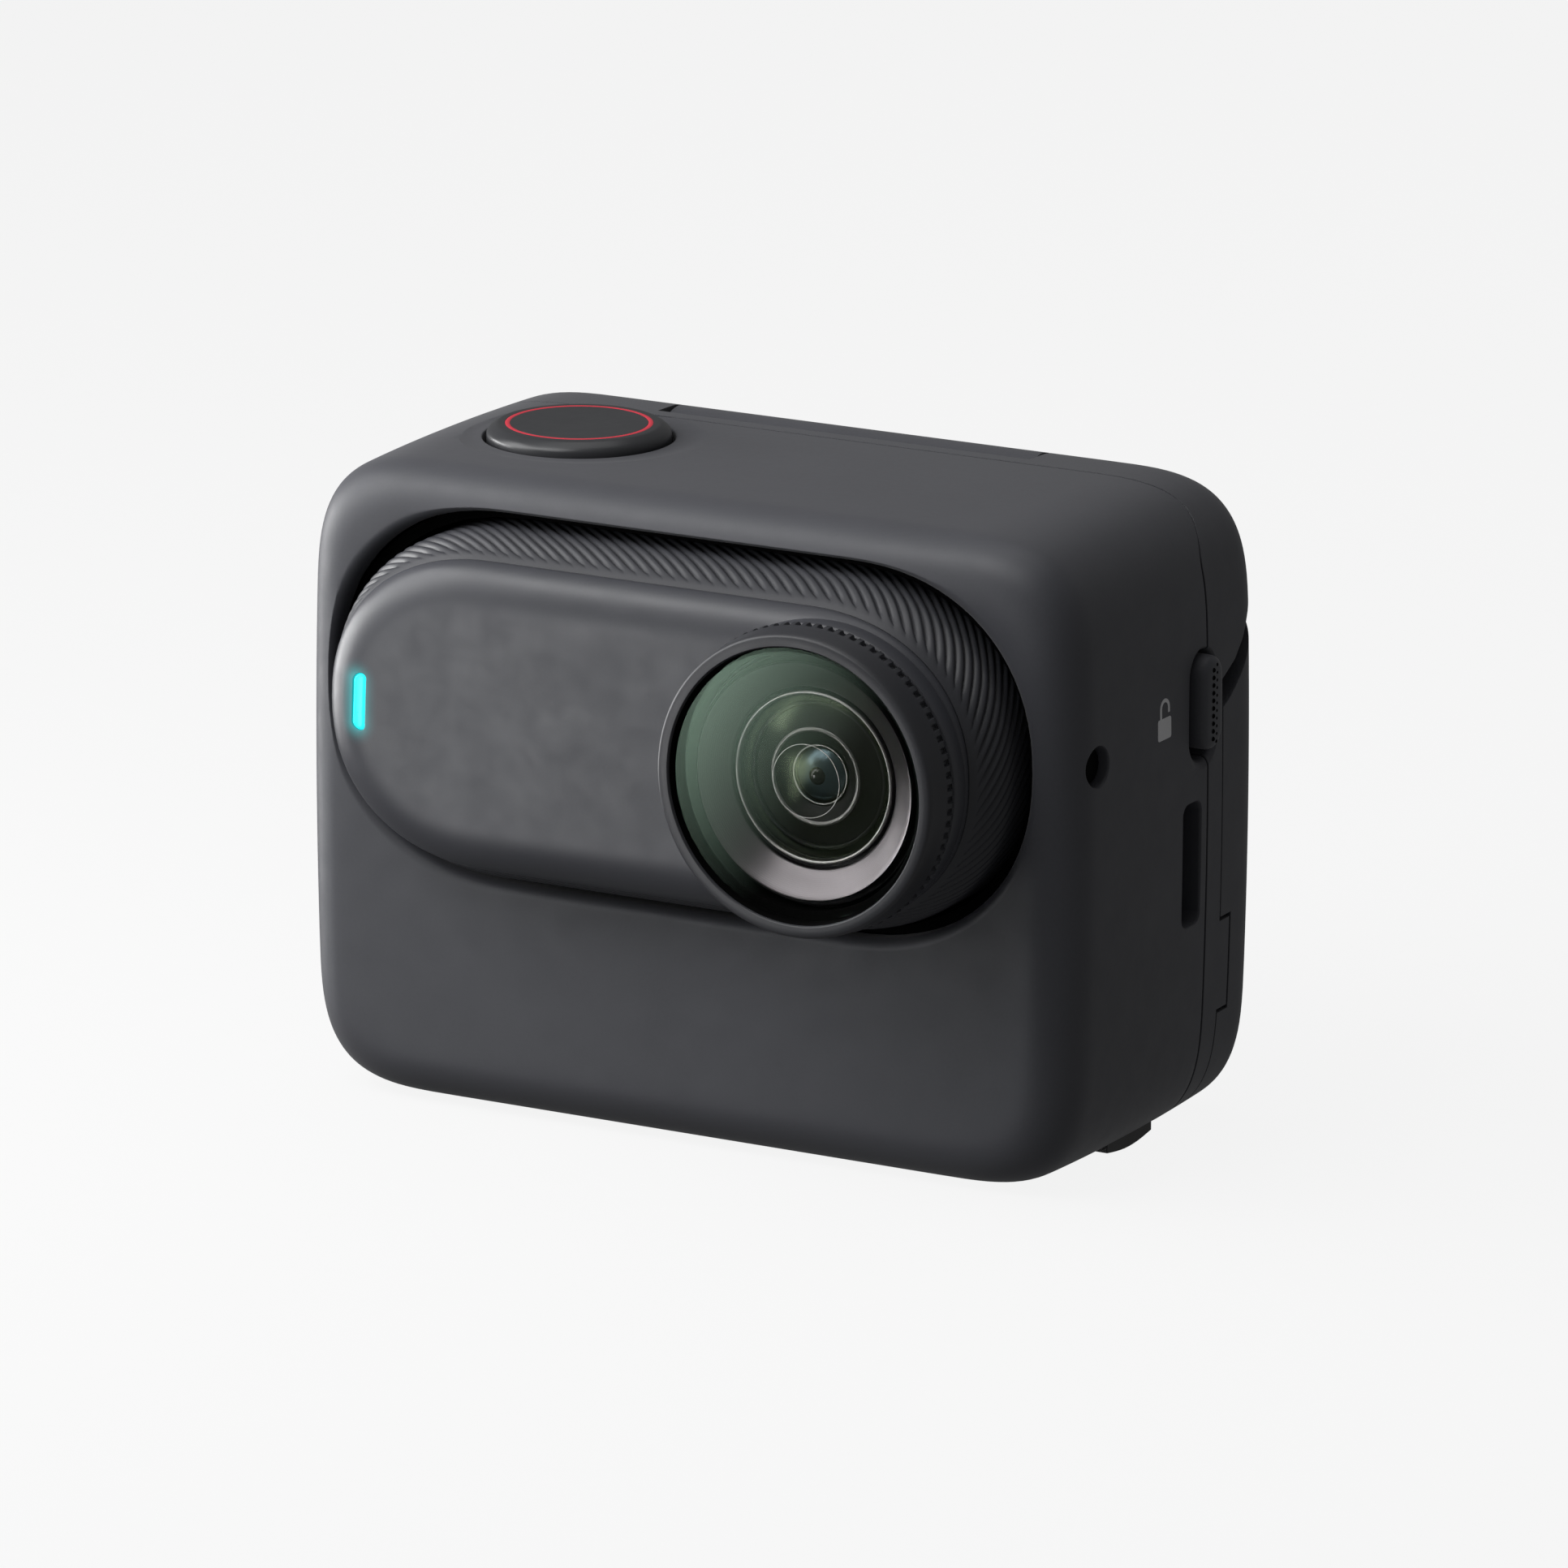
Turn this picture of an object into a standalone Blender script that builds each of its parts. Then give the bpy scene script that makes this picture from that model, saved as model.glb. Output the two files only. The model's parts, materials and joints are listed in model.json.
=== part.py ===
"""Action camera: a pill-shaped camera held in the front bay of a pod with a flip-up touchscreen.

Frame: +X to the right seen from the front, the front faces -Y, +Z up, origin at the centre of the base.
Every size below is in millimetres, and the mesh helpers turn it into Blender's metres.
"""

import math

import bmesh
import bpy
from mathutils import Vector

MM = 0.001
GAP = 0.3

# Pod envelope
POD_WIDTH = 63.5
POD_HEIGHT = 47.6
POD_DEPTH = 29.5
POD_CORNER = 11.5
POD_CORNER_EXPONENT = 3.6
POD_CORNER_STEPS = 8
POD_SIDE_STEPS = 4
SIDE_CROWN = 0.6
END_TAPER = 0.3
FRONT_FILLET = 4.0
REAR_FILLET = 3.8
FILLET_EXPONENT = 2.6
FILLET_STEPS = 4
WALL = 1.6
FRONT_Y = -POD_DEPTH / 2
REAR_Y = POD_DEPTH / 2

# Seam between the front and rear housings: it drifts rearwards over the top edge
SEAM_Y = 5.45
SEAM_TOP_Y = 7.55
SEAM_DRIFT_Z = (42.0, 47.0)
PLATE_FRONT_Y = 6.0
PLATE_REAR_Y = 7.9
PLUG_INSET = WALL + GAP

# Flip screen
HINGE_Y = 11.7
HINGE_Z = 43.3
KNUCKLE_R = 4.1
POCKET_R = 4.4
ARM_HALF = 15.0
ARM_BACK_Y = 13.7
PANEL_FRONT_Y = PLATE_REAR_Y + GAP
HUMP_UNDERSIDE = ((PLATE_REAR_Y, 33.6), (10.0, 34.6), (11.3, 35.8), (12.3, 37.2), (13.6, 38.7), (17.0, 40.0))
PANEL_TOP = ((PANEL_FRONT_Y, 33.3), (10.0, 34.2), (12.3, 36.6), (14.9, 38.2), (17.0, 38.2))
STRIP_REAR_Y = 9.1
SHAFT_R = 0.9
SHAFT_BORE_R = 1.2
CLUTCH_R = 1.8
CLUTCH_SPAN = (18.0, 25.0)
CHEEK_CAVITY = ((17.3, 5.0, 41.1), (26.5, 13.75, 45.5))
SCREEN_POCKET = ((-27.0, 10.6, 3.2), (27.0, 16.0, 35.0))
SCREEN_CORNER = 4.0
FINGER_TAB = ((29.3, 7.0, 9.1), (33.0, 9.5, 15.7))

# Camera pill and the bay that holds it
PILL_X = -0.6
PILL_Z = 31.0
PILL_HALF_LENGTH = 27.2
PILL_HALF_HEIGHT = 12.8
PILL_END_LENGTH = 14.5
PILL_END_EXPONENT = 2.2
PILL_END_STEPS = 18
CAMERA_BACK_Y = 0.2
COVER_SEAM_Y = -18.2
COVER_SEAM_INSET = 1.45
COVER_FRONT_Y = -20.4
SHELL = 1.2
BAY_FLOOR_Y = 0.5
LINER_REAR_Y = 1.3
LINER_CLEARANCE = 0.4
LINER_WALL = 0.8
OPENING_X = -0.45
OPENING_Z = 31.2
OPENING_HALF_LENGTH = 28.4
OPENING_HALF_HEIGHT = 13.65
STATUS_LIGHT_X = (-23.8, -22.78)
STATUS_LIGHT_Z = (29.2, 33.35)

# Lens
LENS_X = 14.6
LENS_Z = 30.95
BOSS_R = 10.7
BOSS_FRONT_Y = -21.2
NECK_R = 9.0
GUARD_BORE_R = NECK_R + GAP
GUARD_R = 11.15
GUARD_REAR_Y = BOSS_FRONT_Y - GAP
GUARD_FRONT_Y = -24.6
ROUND_STEPS = 40

# Controls
SHUTTER_X = -16.4
SHUTTER_Y = -0.5
SHUTTER_TOP_Z = 48.45
SHUTTER_R = 6.7
SHUTTER_HOLE_R = 7.0
SHUTTER_FLANGE_R = 7.5
RED_RING_R = (5.0, 5.36)
KNOB_YZ = (3.4, 6.4, 29.2, 36.1)
KNOB_HOLE_YZ = (3.1, 6.7, 28.3, 36.4)
KNOB_FACE_X = 32.6
SIDE_BUTTON_Y = (1.9, 4.3)
POWER_BUTTON_Z = (34.0, 37.2)
QUICK_BUTTON_Z = (23.5, 30.5)
SIDE_BUTTON_FACE_X = -32.0

# Ports and fastenings
USB_YZ = (1.6, 4.7, 16.8, 25.6)
MIC_Y = -11.0
MIC_Z = 31.5
MIC_R = 1.5
BASE_X = (-17.0, 17.0)
BASE_Y = (-9.5, 4.4)
BASE_THICKNESS = 1.4
NOTCH_Y = (-3.3, 4.1)
NOTCH_X = (25.2, 33.0)
NOTCH_TOP_Z = 1.6
BOSS_SCREW_XZ = ((-26.2, 4.5), (26.2, 4.5))
LINER_SCREW_XZ = ((-12.0, 37.0), (12.0, 37.0))
SCREW_TIP_Y = 2.5
SCREW_HEAD_R = 1.4
SCREW_SHANK_R = 0.7
SCREW_HOLE_R = 1.0
BOARD_Y = (4.9, 5.6)
HOOK_SLOT = ((19.6, 0.0, 31.0), (22.4, 2.0, 34.9))


# ---------------------------------------------------------------- scene, materials and mesh helpers


def clear_scene():
    for obj in list(bpy.data.objects):
        bpy.data.objects.remove(obj, do_unlink=True)


def make_material(name, colour, roughness, metallic=0.0):
    material = bpy.data.materials.new(name)
    material.use_nodes = True
    shader = material.node_tree.nodes["Principled BSDF"]
    shader.inputs["Base Color"].default_value = (*colour, 1.0)
    shader.inputs["Roughness"].default_value = roughness
    shader.inputs["Metallic"].default_value = metallic
    return material


def make_empty(name, x, y, z, parent=None):
    """An empty on a joint's axis, which the pieces of that moving body hang from."""
    empty = bpy.data.objects.new(name, None)
    bpy.context.collection.objects.link(empty)
    if parent:
        empty.parent = parent
        empty.location = Vector((x, y, z)) * MM - parent.matrix_world.translation
    else:
        empty.location = Vector((x, y, z)) * MM
    bpy.context.view_layer.update()
    return empty


def finish(name, mesh_data, colour, parent):
    """Turns a bmesh in millimetres into a named object in metres under its body's empty."""
    bmesh.ops.recalc_face_normals(mesh_data, faces=mesh_data.faces)
    bmesh.ops.scale(mesh_data, vec=(MM, MM, MM), verts=mesh_data.verts)
    mesh = bpy.data.meshes.new(name)
    mesh_data.to_mesh(mesh)
    mesh_data.free()
    mesh.shade_smooth()
    mesh.set_sharp_from_angle(angle=math.radians(35))
    if colour:
        mesh.materials.append(colour)
    obj = bpy.data.objects.new(name, mesh)
    bpy.context.collection.objects.link(obj)
    if parent:
        obj.parent = parent
        obj.matrix_parent_inverse = parent.matrix_world.inverted()
    return obj


def helper(name, mesh_data):
    """A cutter or a guide, which isn't part of the object."""
    obj = finish(name, mesh_data, None, None)
    obj.hide_render = True
    obj.display_type = "WIRE"
    return obj


def combine(obj, other, operation):
    modifier = obj.modifiers.new(f"{operation.lower()} {other.name}", "BOOLEAN")
    modifier.operation = operation
    modifier.solver = "EXACT"
    modifier.object = other


def cut(obj, *cutters):
    for cutter in cutters:
        combine(obj, cutter, "DIFFERENCE")


def join(obj, *others):
    for other in others:
        combine(obj, other, "UNION")


def loft(rings):
    """A closed skin over rings of equal length, capped at its first and last ring."""
    skin = bmesh.new()
    loops = [[skin.verts.new(point) for point in ring] for ring in rings]
    count = len(loops[0])
    for near, far in zip(loops, loops[1:]):
        for i in range(count):
            j = (i + 1) % count
            skin.faces.new((near[i], near[j], far[j], far[i]))
    skin.faces.new(loops[0])
    skin.faces.new(loops[-1])
    return skin


def prism(outline, axis, low, high):
    """An outline of (a, b) points pulled along X, Y or Z. The pair is the other two axes in order."""

    def place(a, b, along):
        point = [a, b]
        point.insert("XYZ".index(axis), along)
        return tuple(point)

    return loft([[place(a, b, low) for a, b in outline], [place(a, b, high) for a, b in outline]])


def turned(profile, axis, centre, steps=ROUND_STEPS):
    """Turns (radius, height) points round an axis. A profile that starts at radius 0 must end there."""
    skin = bmesh.new()
    solid = profile[0][0] == 0
    along = "XYZ".index(axis)
    rings = []
    for radius, height in profile:
        ring = []
        for i in range(1 if radius == 0 else steps):
            angle = math.tau * i / steps
            point = [centre[0] + radius * math.cos(angle), centre[1] + radius * math.sin(angle)]
            point.insert(along, height)
            ring.append(skin.verts.new(point))
        rings.append(ring)
    following = rings[1:] if solid else rings[1:] + rings[:1]
    for near, far in zip(rings, following):
        for i in range(steps):
            j = (i + 1) % steps
            corners = [near[i % len(near)], near[j % len(near)], far[j % len(far)], far[i % len(far)]]
            skin.faces.new(list(dict.fromkeys(corners)))
    return skin


def rod(axis, centre, radius, low, high, steps=16):
    return turned([(0, low), (radius, low), (radius, high), (0, high)], axis, centre, steps)


def tube(axis, centre, inner, outer, low, high, steps=24):
    return turned([(outer, low), (outer, high), (inner, high), (inner, low)], axis, centre, steps)


def block(low, high, chamfer=0.0):
    """A box between two corners, with its edges chamfered."""
    box = bmesh.new()
    bmesh.ops.create_cube(box, size=1.0)
    for vert in box.verts:
        for i in range(3):
            vert.co[i] = high[i] if vert.co[i] > 0 else low[i]
    if chamfer:
        bmesh.ops.bevel(box, geom=box.edges[:], offset=chamfer, segments=1, affect="EDGES")
    return box


def mirrored(box):
    """The same corners on the other side of the X = 0 plane."""
    (x0, y0, z0), (x1, y1, z1) = box
    return ((-x1, y0, z0), (-x0, y1, z1))


def stadium(a0, a1, b0, b1, steps=8):
    """A slot outline with round ends, longer along b."""
    radius = (a1 - a0) / 2
    middle = (a0 + a1) / 2
    points = []
    for centre, start in ((b1 - radius, 0.0), (b0 + radius, math.pi)):
        for i in range(steps + 1):
            angle = start + math.pi * i / steps
            points.append((middle + radius * math.cos(angle), centre + radius * math.sin(angle)))
    return points


def rounded_rectangle(half_a, half_b, radius, exponent, steps):
    """Points of a rectangle about (0, 0) whose corners are quarters of a superellipse."""
    points = []
    for quarter, (side_a, side_b) in enumerate(((1, 1), (-1, 1), (-1, -1), (1, -1))):
        for i in range(steps + 1):
            turn = i if quarter % 2 == 0 else steps - i
            angle = math.pi / 2 * turn / steps
            a = half_a - radius + radius * math.cos(angle) ** (2 / exponent)
            b = half_b - radius + radius * abs(math.sin(angle)) ** (2 / exponent)
            points.append((side_a * a, side_b * b))
    return points


def smooth_step(value, low, high):
    t = min(max((value - low) / (high - low), 0.0), 1.0)
    return t * t * (3 - 2 * t)


def seam_y(z):
    return SEAM_Y + (SEAM_TOP_Y - SEAM_Y) * smooth_step(z, *SEAM_DRIFT_Z)


# ---------------------------------------------------------------- outlines of the pod and the pill


def pod_outline(inset):
    """The pod's outline in (x, z) about its middle, with extra points up both sides for their crown."""
    half_x = POD_WIDTH / 2 - inset
    half_z = POD_HEIGHT / 2 - inset
    radius = max(POD_CORNER - inset, 1.0)
    corners = rounded_rectangle(half_x, half_z, radius, POD_CORNER_EXPONENT, POD_CORNER_STEPS)
    quarter = POD_CORNER_STEPS + 1
    reach = half_z - radius
    heights = [reach * (2 * i / POD_SIDE_STEPS - 1) for i in range(1, POD_SIDE_STEPS)]
    left = [(-half_x, -z) for z in heights]
    right = [(half_x, z) for z in heights]
    return corners[: 2 * quarter] + left + corners[2 * quarter :] + right


def pod_ring(inset, y, seamed=False):
    """One ring of the pod's skin: its sides crowned, and both ends a little smaller than the middle."""
    ring = []
    for x, z in pod_outline(inset):
        u = x / (POD_WIDTH / 2)
        v = z / (POD_HEIGHT / 2)
        depth = seam_y(z + POD_HEIGHT / 2) if seamed else y
        shrink = END_TAPER * (depth / REAR_Y) ** 2
        x -= math.copysign(SIDE_CROWN * v * v * abs(u), x)
        x *= 1 - shrink / (POD_WIDTH / 2)
        z *= 1 - shrink / (POD_HEIGHT / 2)
        ring.append((x, depth, z + POD_HEIGHT / 2))
    return ring


def fillet_rings(end_y, fillet, inwards):
    """(inset, y) pairs of a superelliptic fillet, from the flat end to the side wall."""
    pairs = []
    for i in range(FILLET_STEPS + 1):
        angle = math.pi / 2 * i / FILLET_STEPS
        inset = fillet * (1 - math.sin(angle) ** (2 / FILLET_EXPONENT))
        back = fillet * (1 - abs(math.cos(angle)) ** (2 / FILLET_EXPONENT))
        pairs.append((inset, end_y + inwards * back))
    return pairs


def pod_solid():
    """The whole pod envelope as one solid, which the rear housing and the screen shell are cut from."""
    front = fillet_rings(FRONT_Y, FRONT_FILLET, 1)
    rear = fillet_rings(REAR_Y, REAR_FILLET, -1)
    middle = [(0.0, y) for y in (-5.0, 0.0, SEAM_Y)]
    return loft([pod_ring(inset, y) for inset, y in front + middle + rear[::-1]])


def pill_ring(inset, y, x=PILL_X, z=PILL_Z, half_length=PILL_HALF_LENGTH, half_height=PILL_HALF_HEIGHT):
    """One ring of a pill: straight along its length, with superelliptic ends."""
    end = PILL_END_LENGTH - inset
    straight = half_length - inset - end
    ring = []
    for side in (1, -1):
        for i in range(PILL_END_STEPS + 1):
            turn = i if side > 0 else PILL_END_STEPS - i
            angle = math.pi / 2 - math.pi * turn / PILL_END_STEPS
            a = abs(math.cos(angle)) ** (2 / PILL_END_EXPONENT)
            b = abs(math.sin(angle)) ** (2 / PILL_END_EXPONENT)
            height = math.copysign((half_height - inset) * b, math.sin(angle))
            ring.append((x + side * (straight + end * a), y, z + height))
    return ring


def arc(centre, radius, start, stop, steps=14):
    """Points of an arc in the YZ plane. Angles are in degrees from +Y, turning towards +Z."""
    points = []
    for i in range(steps + 1):
        angle = math.radians(start + (stop - start) * i / steps)
        points.append((centre[0] + radius * math.cos(angle), centre[1] + radius * math.sin(angle)))
    return points


def angle_at(dy, radius, sign):
    """The angle of the point of a circle at dy from its centre, above (sign 1) or below it (sign -1)."""
    return math.degrees(math.atan2(sign * math.sqrt(radius**2 - dy**2), dy)) % 360


# ---------------------------------------------------------------- pod shells


def screw_bosses(places, low, high, radius):
    """Bosses and the pilot holes in them, as (boss, hole) helpers."""
    pairs = []
    for number, place in enumerate(places, 1):
        boss = helper(f"boss_{radius}_{number}", rod("Y", place, radius, low, high))
        pilot = rod("Y", place, SCREW_HOLE_R, SCREW_TIP_Y - GAP, high + 1, 12)
        hole = helper(f"pilot_{radius}_{number}", pilot)
        pairs.append((boss, hole))
    return pairs


def bay_opening():
    """The cutter for the bay's mouth, flared where the lip is rounded."""
    steps = ((1.3, -16.0), (0.75, -14.75), (0.35, -14.45), (0.1, -14.1), (0.0, -13.7), (0.0, -12.0))
    place = (OPENING_X, OPENING_Z, OPENING_HALF_LENGTH, OPENING_HALF_HEIGHT)
    return helper("bay_opening", loft([pill_ring(-grow, y, *place) for grow, y in steps]))


def base_notch(side):
    low, high = sorted(side * x for x in NOTCH_X)
    name = "right" if side > 0 else "left"
    return helper(f"notch_{name}", block((low, NOTCH_Y[0], -1.0), (high, NOTCH_Y[1], NOTCH_TOP_Z)))


def front_housing(colour, parent, knob_hole):
    inner = [(FRONT_FILLET, FRONT_Y + WALL), (2.0, -12.9), (WALL, -11.8), (WALL, 0.0)]
    outer = [(0.0, 0.0), (0.0, -5.0)]
    rings = [pod_ring(inset, y) for inset, y in inner]
    rings.append(pod_ring(WALL, 0.0, seamed=True))
    rings.append(pod_ring(0.0, 0.0, seamed=True))
    rings += [pod_ring(inset, y) for inset, y in outer]
    rings += [pod_ring(inset, y) for inset, y in fillet_rings(FRONT_Y, FRONT_FILLET, 1)[::-1]]
    housing = finish("pod_front_housing", loft(rings), colour, parent)
    bosses = screw_bosses(BOSS_SCREW_XZ, 1.0, SEAM_Y - GAP, 2.8)
    join(housing, *[boss for boss, _ in bosses])
    cut(housing, *[hole for _, hole in bosses])
    button = (SHUTTER_X, SHUTTER_Y)
    cut(
        housing,
        bay_opening(),
        helper("shutter_hole", rod("Z", button, SHUTTER_HOLE_R, 45.0, 50.0, ROUND_STEPS)),
        helper("shutter_counterbore", rod("Z", button, SHUTTER_FLANGE_R + GAP, 45.2, 46.4, ROUND_STEPS)),
        helper("mic_hole", rod("X", (MIC_Y, MIC_Z), MIC_R, 25.0, 35.0)),
        helper("usb_slot", prism(stadium(*USB_YZ), "X", 26.0, 35.0)),
        knob_hole,
        helper("base_opening", block((BASE_X[0], BASE_Y[0], -1.0), (BASE_X[1], BASE_Y[1], 2.5))),
        base_notch(1),
        base_notch(-1),
    )
    for name, heights in (("power_hole", POWER_BUTTON_Z), ("quick_hole", QUICK_BUTTON_Z)):
        outline = stadium(*grown(SIDE_BUTTON_Y), *grown(heights))
        cut(housing, helper(name, prism(outline, "X", -35.0, -29.6)))
    for number, z in enumerate((8.0, 10.2, 12.4), 1):
        outline = stadium(z - 0.5, z + 0.5, -7.0, -2.5, 4)
        turned_round = [(b, a) for a, b in outline]
        cut(housing, helper(f"speaker_slot_{number}", prism(turned_round, "X", -35.0, -29.0)))
    return housing


def grown(span, by=GAP):
    return span[0] - by, span[1] + by


def hook_slot_cutter():
    return helper("hook_slot", block(*HOOK_SLOT))


def bay_liner(colour, parent):
    inner = -LINER_CLEARANCE
    outer = inner - LINER_WALL
    mouth = FRONT_Y + WALL + 2 * GAP
    steps = (
        (inner + 1.5, BAY_FLOOR_Y),
        (inner, BAY_FLOOR_Y - 1.5),
        (inner, mouth),
        (outer, mouth),
        (outer, LINER_REAR_Y - 1.5),
        (outer + 1.5, LINER_REAR_Y),
    )
    liner = finish("bay_liner", loft([pill_ring(inset, y) for inset, y in steps]), colour, parent)
    bosses = screw_bosses(LINER_SCREW_XZ, LINER_REAR_Y - 0.3, BOARD_Y[0] - GAP, 2.2)
    join(liner, *[boss for boss, _ in bosses])
    cut(liner, *[hole for _, hole in bosses])
    cut(liner, hook_slot_cutter(), helper("contact_window", block((-6.6, 0.0, 21.9), (6.6, 2.0, 25.8))))
    return liner


def arm_slot():
    """The space in the rear housing that the hinge arm and its knuckle turn in."""
    start = angle_at(PLATE_REAR_Y - HINGE_Y, POCKET_R, -1)
    stop = angle_at(STRIP_REAR_Y - HINGE_Y, POCKET_R, 1)
    outline = [(PLATE_REAR_Y, 30.0)]
    outline += arc((HINGE_Y, HINGE_Z), POCKET_R, start, stop)
    outline += [(STRIP_REAR_Y, 50.0), (17.0, 50.0), (17.0, 30.0)]
    return helper("arm_slot", prism(outline, "X", -ARM_HALF - GAP, ARM_HALF + GAP))


def rear_housing(colour, parent, knob_hole):
    housing = finish("pod_rear_housing", pod_solid(), colour, parent)
    heights = [-1.0] + [SEAM_DRIFT_Z[0] + i for i in range(6)] + [50.0]
    front_region = [(seam_y(z) + GAP, z) for z in heights] + [(-20.0, 50.0), (-20.0, -1.0)]
    panel_region = [(PLATE_REAR_Y, -1.0), *HUMP_UNDERSIDE, (17.0, -1.0)]
    plug = loft([pod_ring(PLUG_INSET, PLATE_FRONT_Y), pod_ring(PLUG_INSET, PLATE_REAR_Y - GAP)])
    cut(housing, helper("front_region", prism(front_region, "X", -40.0, 40.0)))
    join(housing, helper("plug", plug))
    flange_space = rod("Z", (SHUTTER_X, SHUTTER_Y), SHUTTER_FLANGE_R + GAP, 44.6, 46.5, ROUND_STEPS)
    cut(
        housing,
        helper("panel_region", prism(panel_region, "X", -40.0, 40.0)),
        helper("flange_space", flange_space),
    )
    tab = finger_tab()
    join(housing, tab)
    cut(
        housing,
        arm_slot(),
        helper("cheek_cavity_right", block(*CHEEK_CAVITY)),
        helper("cheek_cavity_left", block(*mirrored(CHEEK_CAVITY))),
        helper("shaft_hole", rod("X", (HINGE_Y, HINGE_Z), SHAFT_BORE_R, -18.0, 18.0)),
        knob_hole,
    )
    for number, place in enumerate(BOSS_SCREW_XZ + LINER_SCREW_XZ, 1):
        head_seat = PLATE_REAR_Y - 1.0
        profile = [(0, 5.0), (SCREW_HOLE_R, 5.0), (SCREW_HOLE_R, head_seat)]
        profile += [(SCREW_HEAD_R + GAP, head_seat), (SCREW_HEAD_R + GAP, 9.0), (0, 9.0)]
        cut(housing, helper(f"screw_hole_{number}", turned(profile, "Y", place, 16)))
    return housing


def finger_tab():
    """The tab on the rear housing's right edge: a slice of the pod's own envelope."""
    tab = helper("finger_tab", pod_solid())
    combine(tab, helper("finger_tab_bounds", block(*FINGER_TAB)), "INTERSECT")
    return tab


def base_plate(colour, parent):
    low = (BASE_X[0] + GAP, BASE_Y[0] + GAP, 0.0)
    high = (BASE_X[1] - GAP, BASE_Y[1] - GAP, BASE_THICKNESS)
    return finish("base_plate", block(low, high), colour, parent)


def latch_insert(name, side, colour, parent):
    """The dark block in a base notch, its underside bowed along Y."""
    low, high = sorted(side * x for x in (NOTCH_X[0] + GAP, 28.4))
    y0, y1 = NOTCH_Y[0] + GAP, NOTCH_Y[1] - GAP
    steps = 10
    bow = []
    for i in range(steps + 1):
        bow.append((y0 + (y1 - y0) * i / steps, 0.75 - 0.35 * math.sin(math.pi * i / steps)))
    outline = [*bow, (y1, NOTCH_TOP_Z - 0.1), (y0, NOTCH_TOP_Z - 0.1)]
    return finish(name, prism(outline, "X", low, high), colour, parent)


# ---------------------------------------------------------------- pod internals


def pod_internals(colours, parent):
    black, gold, steel = colours["black"], colours["gold"], colours["steel"]
    finish("pod_battery", block((-17.0, -12.2, 3.4), (22.6, 4.2, 16.4), 1.0), colours["battery"], parent)
    plate = block((-26.0, BOARD_Y[0], 17.5), (21.5, BOARD_Y[1], 39.5))
    board = finish("main_board", plate, colours["board"], parent)
    for number, place in enumerate(LINER_SCREW_XZ, 1):
        cut(board, helper(f"board_hole_{number}", rod("Y", place, 1.6, 4.0, 6.5)))
    usb_shell(steel, parent)
    finish("usb_tongue", block((24.6, 2.75, 17.9), (29.3, 3.45, 24.4)), black, parent)
    finish("side_microphone", rod("X", (MIC_Y, MIC_Z), 1.2, 29.0, 30.9), black, parent)
    contact_block(gold, parent)
    for name, x in (("bay_magnet_left", -14.0), ("bay_magnet_right", 4.0)):
        finish(name, rod("Y", (x, 30.0), 3.2, 1.6, 2.7, 20), steel, parent)
    for name, x in (("base_magnet_left", -10.0), ("base_magnet_right", 10.0)):
        finish(name, rod("Z", (x, 0.0), 3.0, 1.75, 2.95, 20), steel, parent)
    finish("shutter_dome_switch", rod("Z", (SHUTTER_X, SHUTTER_Y), 2.6, 45.3, 46.1, 20), steel, parent)
    for name, heights in (("power_dome_switch", POWER_BUTTON_Z), ("quick_dome_switch", QUICK_BUTTON_Z)):
        middle = sum(heights) / 2
        finish(name, rod("X", (sum(SIDE_BUTTON_Y) / 2, middle), 1.3, -28.9, -27.6), steel, parent)
    finish("speaker", block((-28.2, -9.0, 5.4), (-19.0, 0.4, 14.6), 0.8), black, parent)
    clutch_profile = (SHAFT_BORE_R, CLUTCH_R, *CLUTCH_SPAN)
    finish("hinge_clutch_right", tube("X", (HINGE_Y, HINGE_Z), *clutch_profile, 20), steel, parent)
    left_profile = (SHAFT_BORE_R, CLUTCH_R, -CLUTCH_SPAN[1], -CLUTCH_SPAN[0])
    finish("hinge_clutch_left", tube("X", (HINGE_Y, HINGE_Z), *left_profile, 20), steel, parent)
    names = ("lower_left", "lower_right", "upper_left", "upper_right")
    for name, place in zip(names, BOSS_SCREW_XZ + LINER_SCREW_XZ):
        housing_screw(f"housing_screw_{name}", place, steel, parent)
    latch_spring(steel, parent)


def usb_shell(colour, parent):
    """The inlet's steel can, closed at the back."""
    y0, y1, z0, z1 = USB_YZ
    outer = stadium(y0 + 0.1, y1 - 0.1, z0 + 0.1, z1 - 0.1)
    inner = stadium(y0 + 0.4, y1 - 0.4, z0 + 0.4, z1 - 0.4)
    rings = [
        [(24.0, a, b) for a, b in inner],
        [(29.8, a, b) for a, b in inner],
        [(29.8, a, b) for a, b in outer],
        [(23.4, a, b) for a, b in outer],
    ]
    return finish("usb_shell", loft(rings), colour, parent)


def contact_block(colour, parent):
    """The sprung contacts behind the bay floor, which meet the pads on the camera's back."""
    body = finish("bay_contact_block", block((-6.2, 0.9, 22.3), (6.2, 4.4, 25.4)), colour, parent)
    for number in range(5):
        place = (-4.4 + 2.2 * number, 23.85)
        join(body, helper(f"contact_pin_{number}", rod("Y", place, 0.55, 0.52, 2.0, 10)))
    return body


def housing_screw(name, place, colour, parent):
    seat = PLATE_REAR_Y - 1.0 + 0.1
    profile = [(0, SCREW_TIP_Y), (SCREW_SHANK_R, SCREW_TIP_Y), (SCREW_SHANK_R, seat)]
    profile += [(SCREW_HEAD_R, seat), (SCREW_HEAD_R, seat + 0.5), (1.1, seat + 0.75), (0, seat + 0.75)]
    return finish(name, turned(profile, "Y", place, 14), colour, parent)


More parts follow.
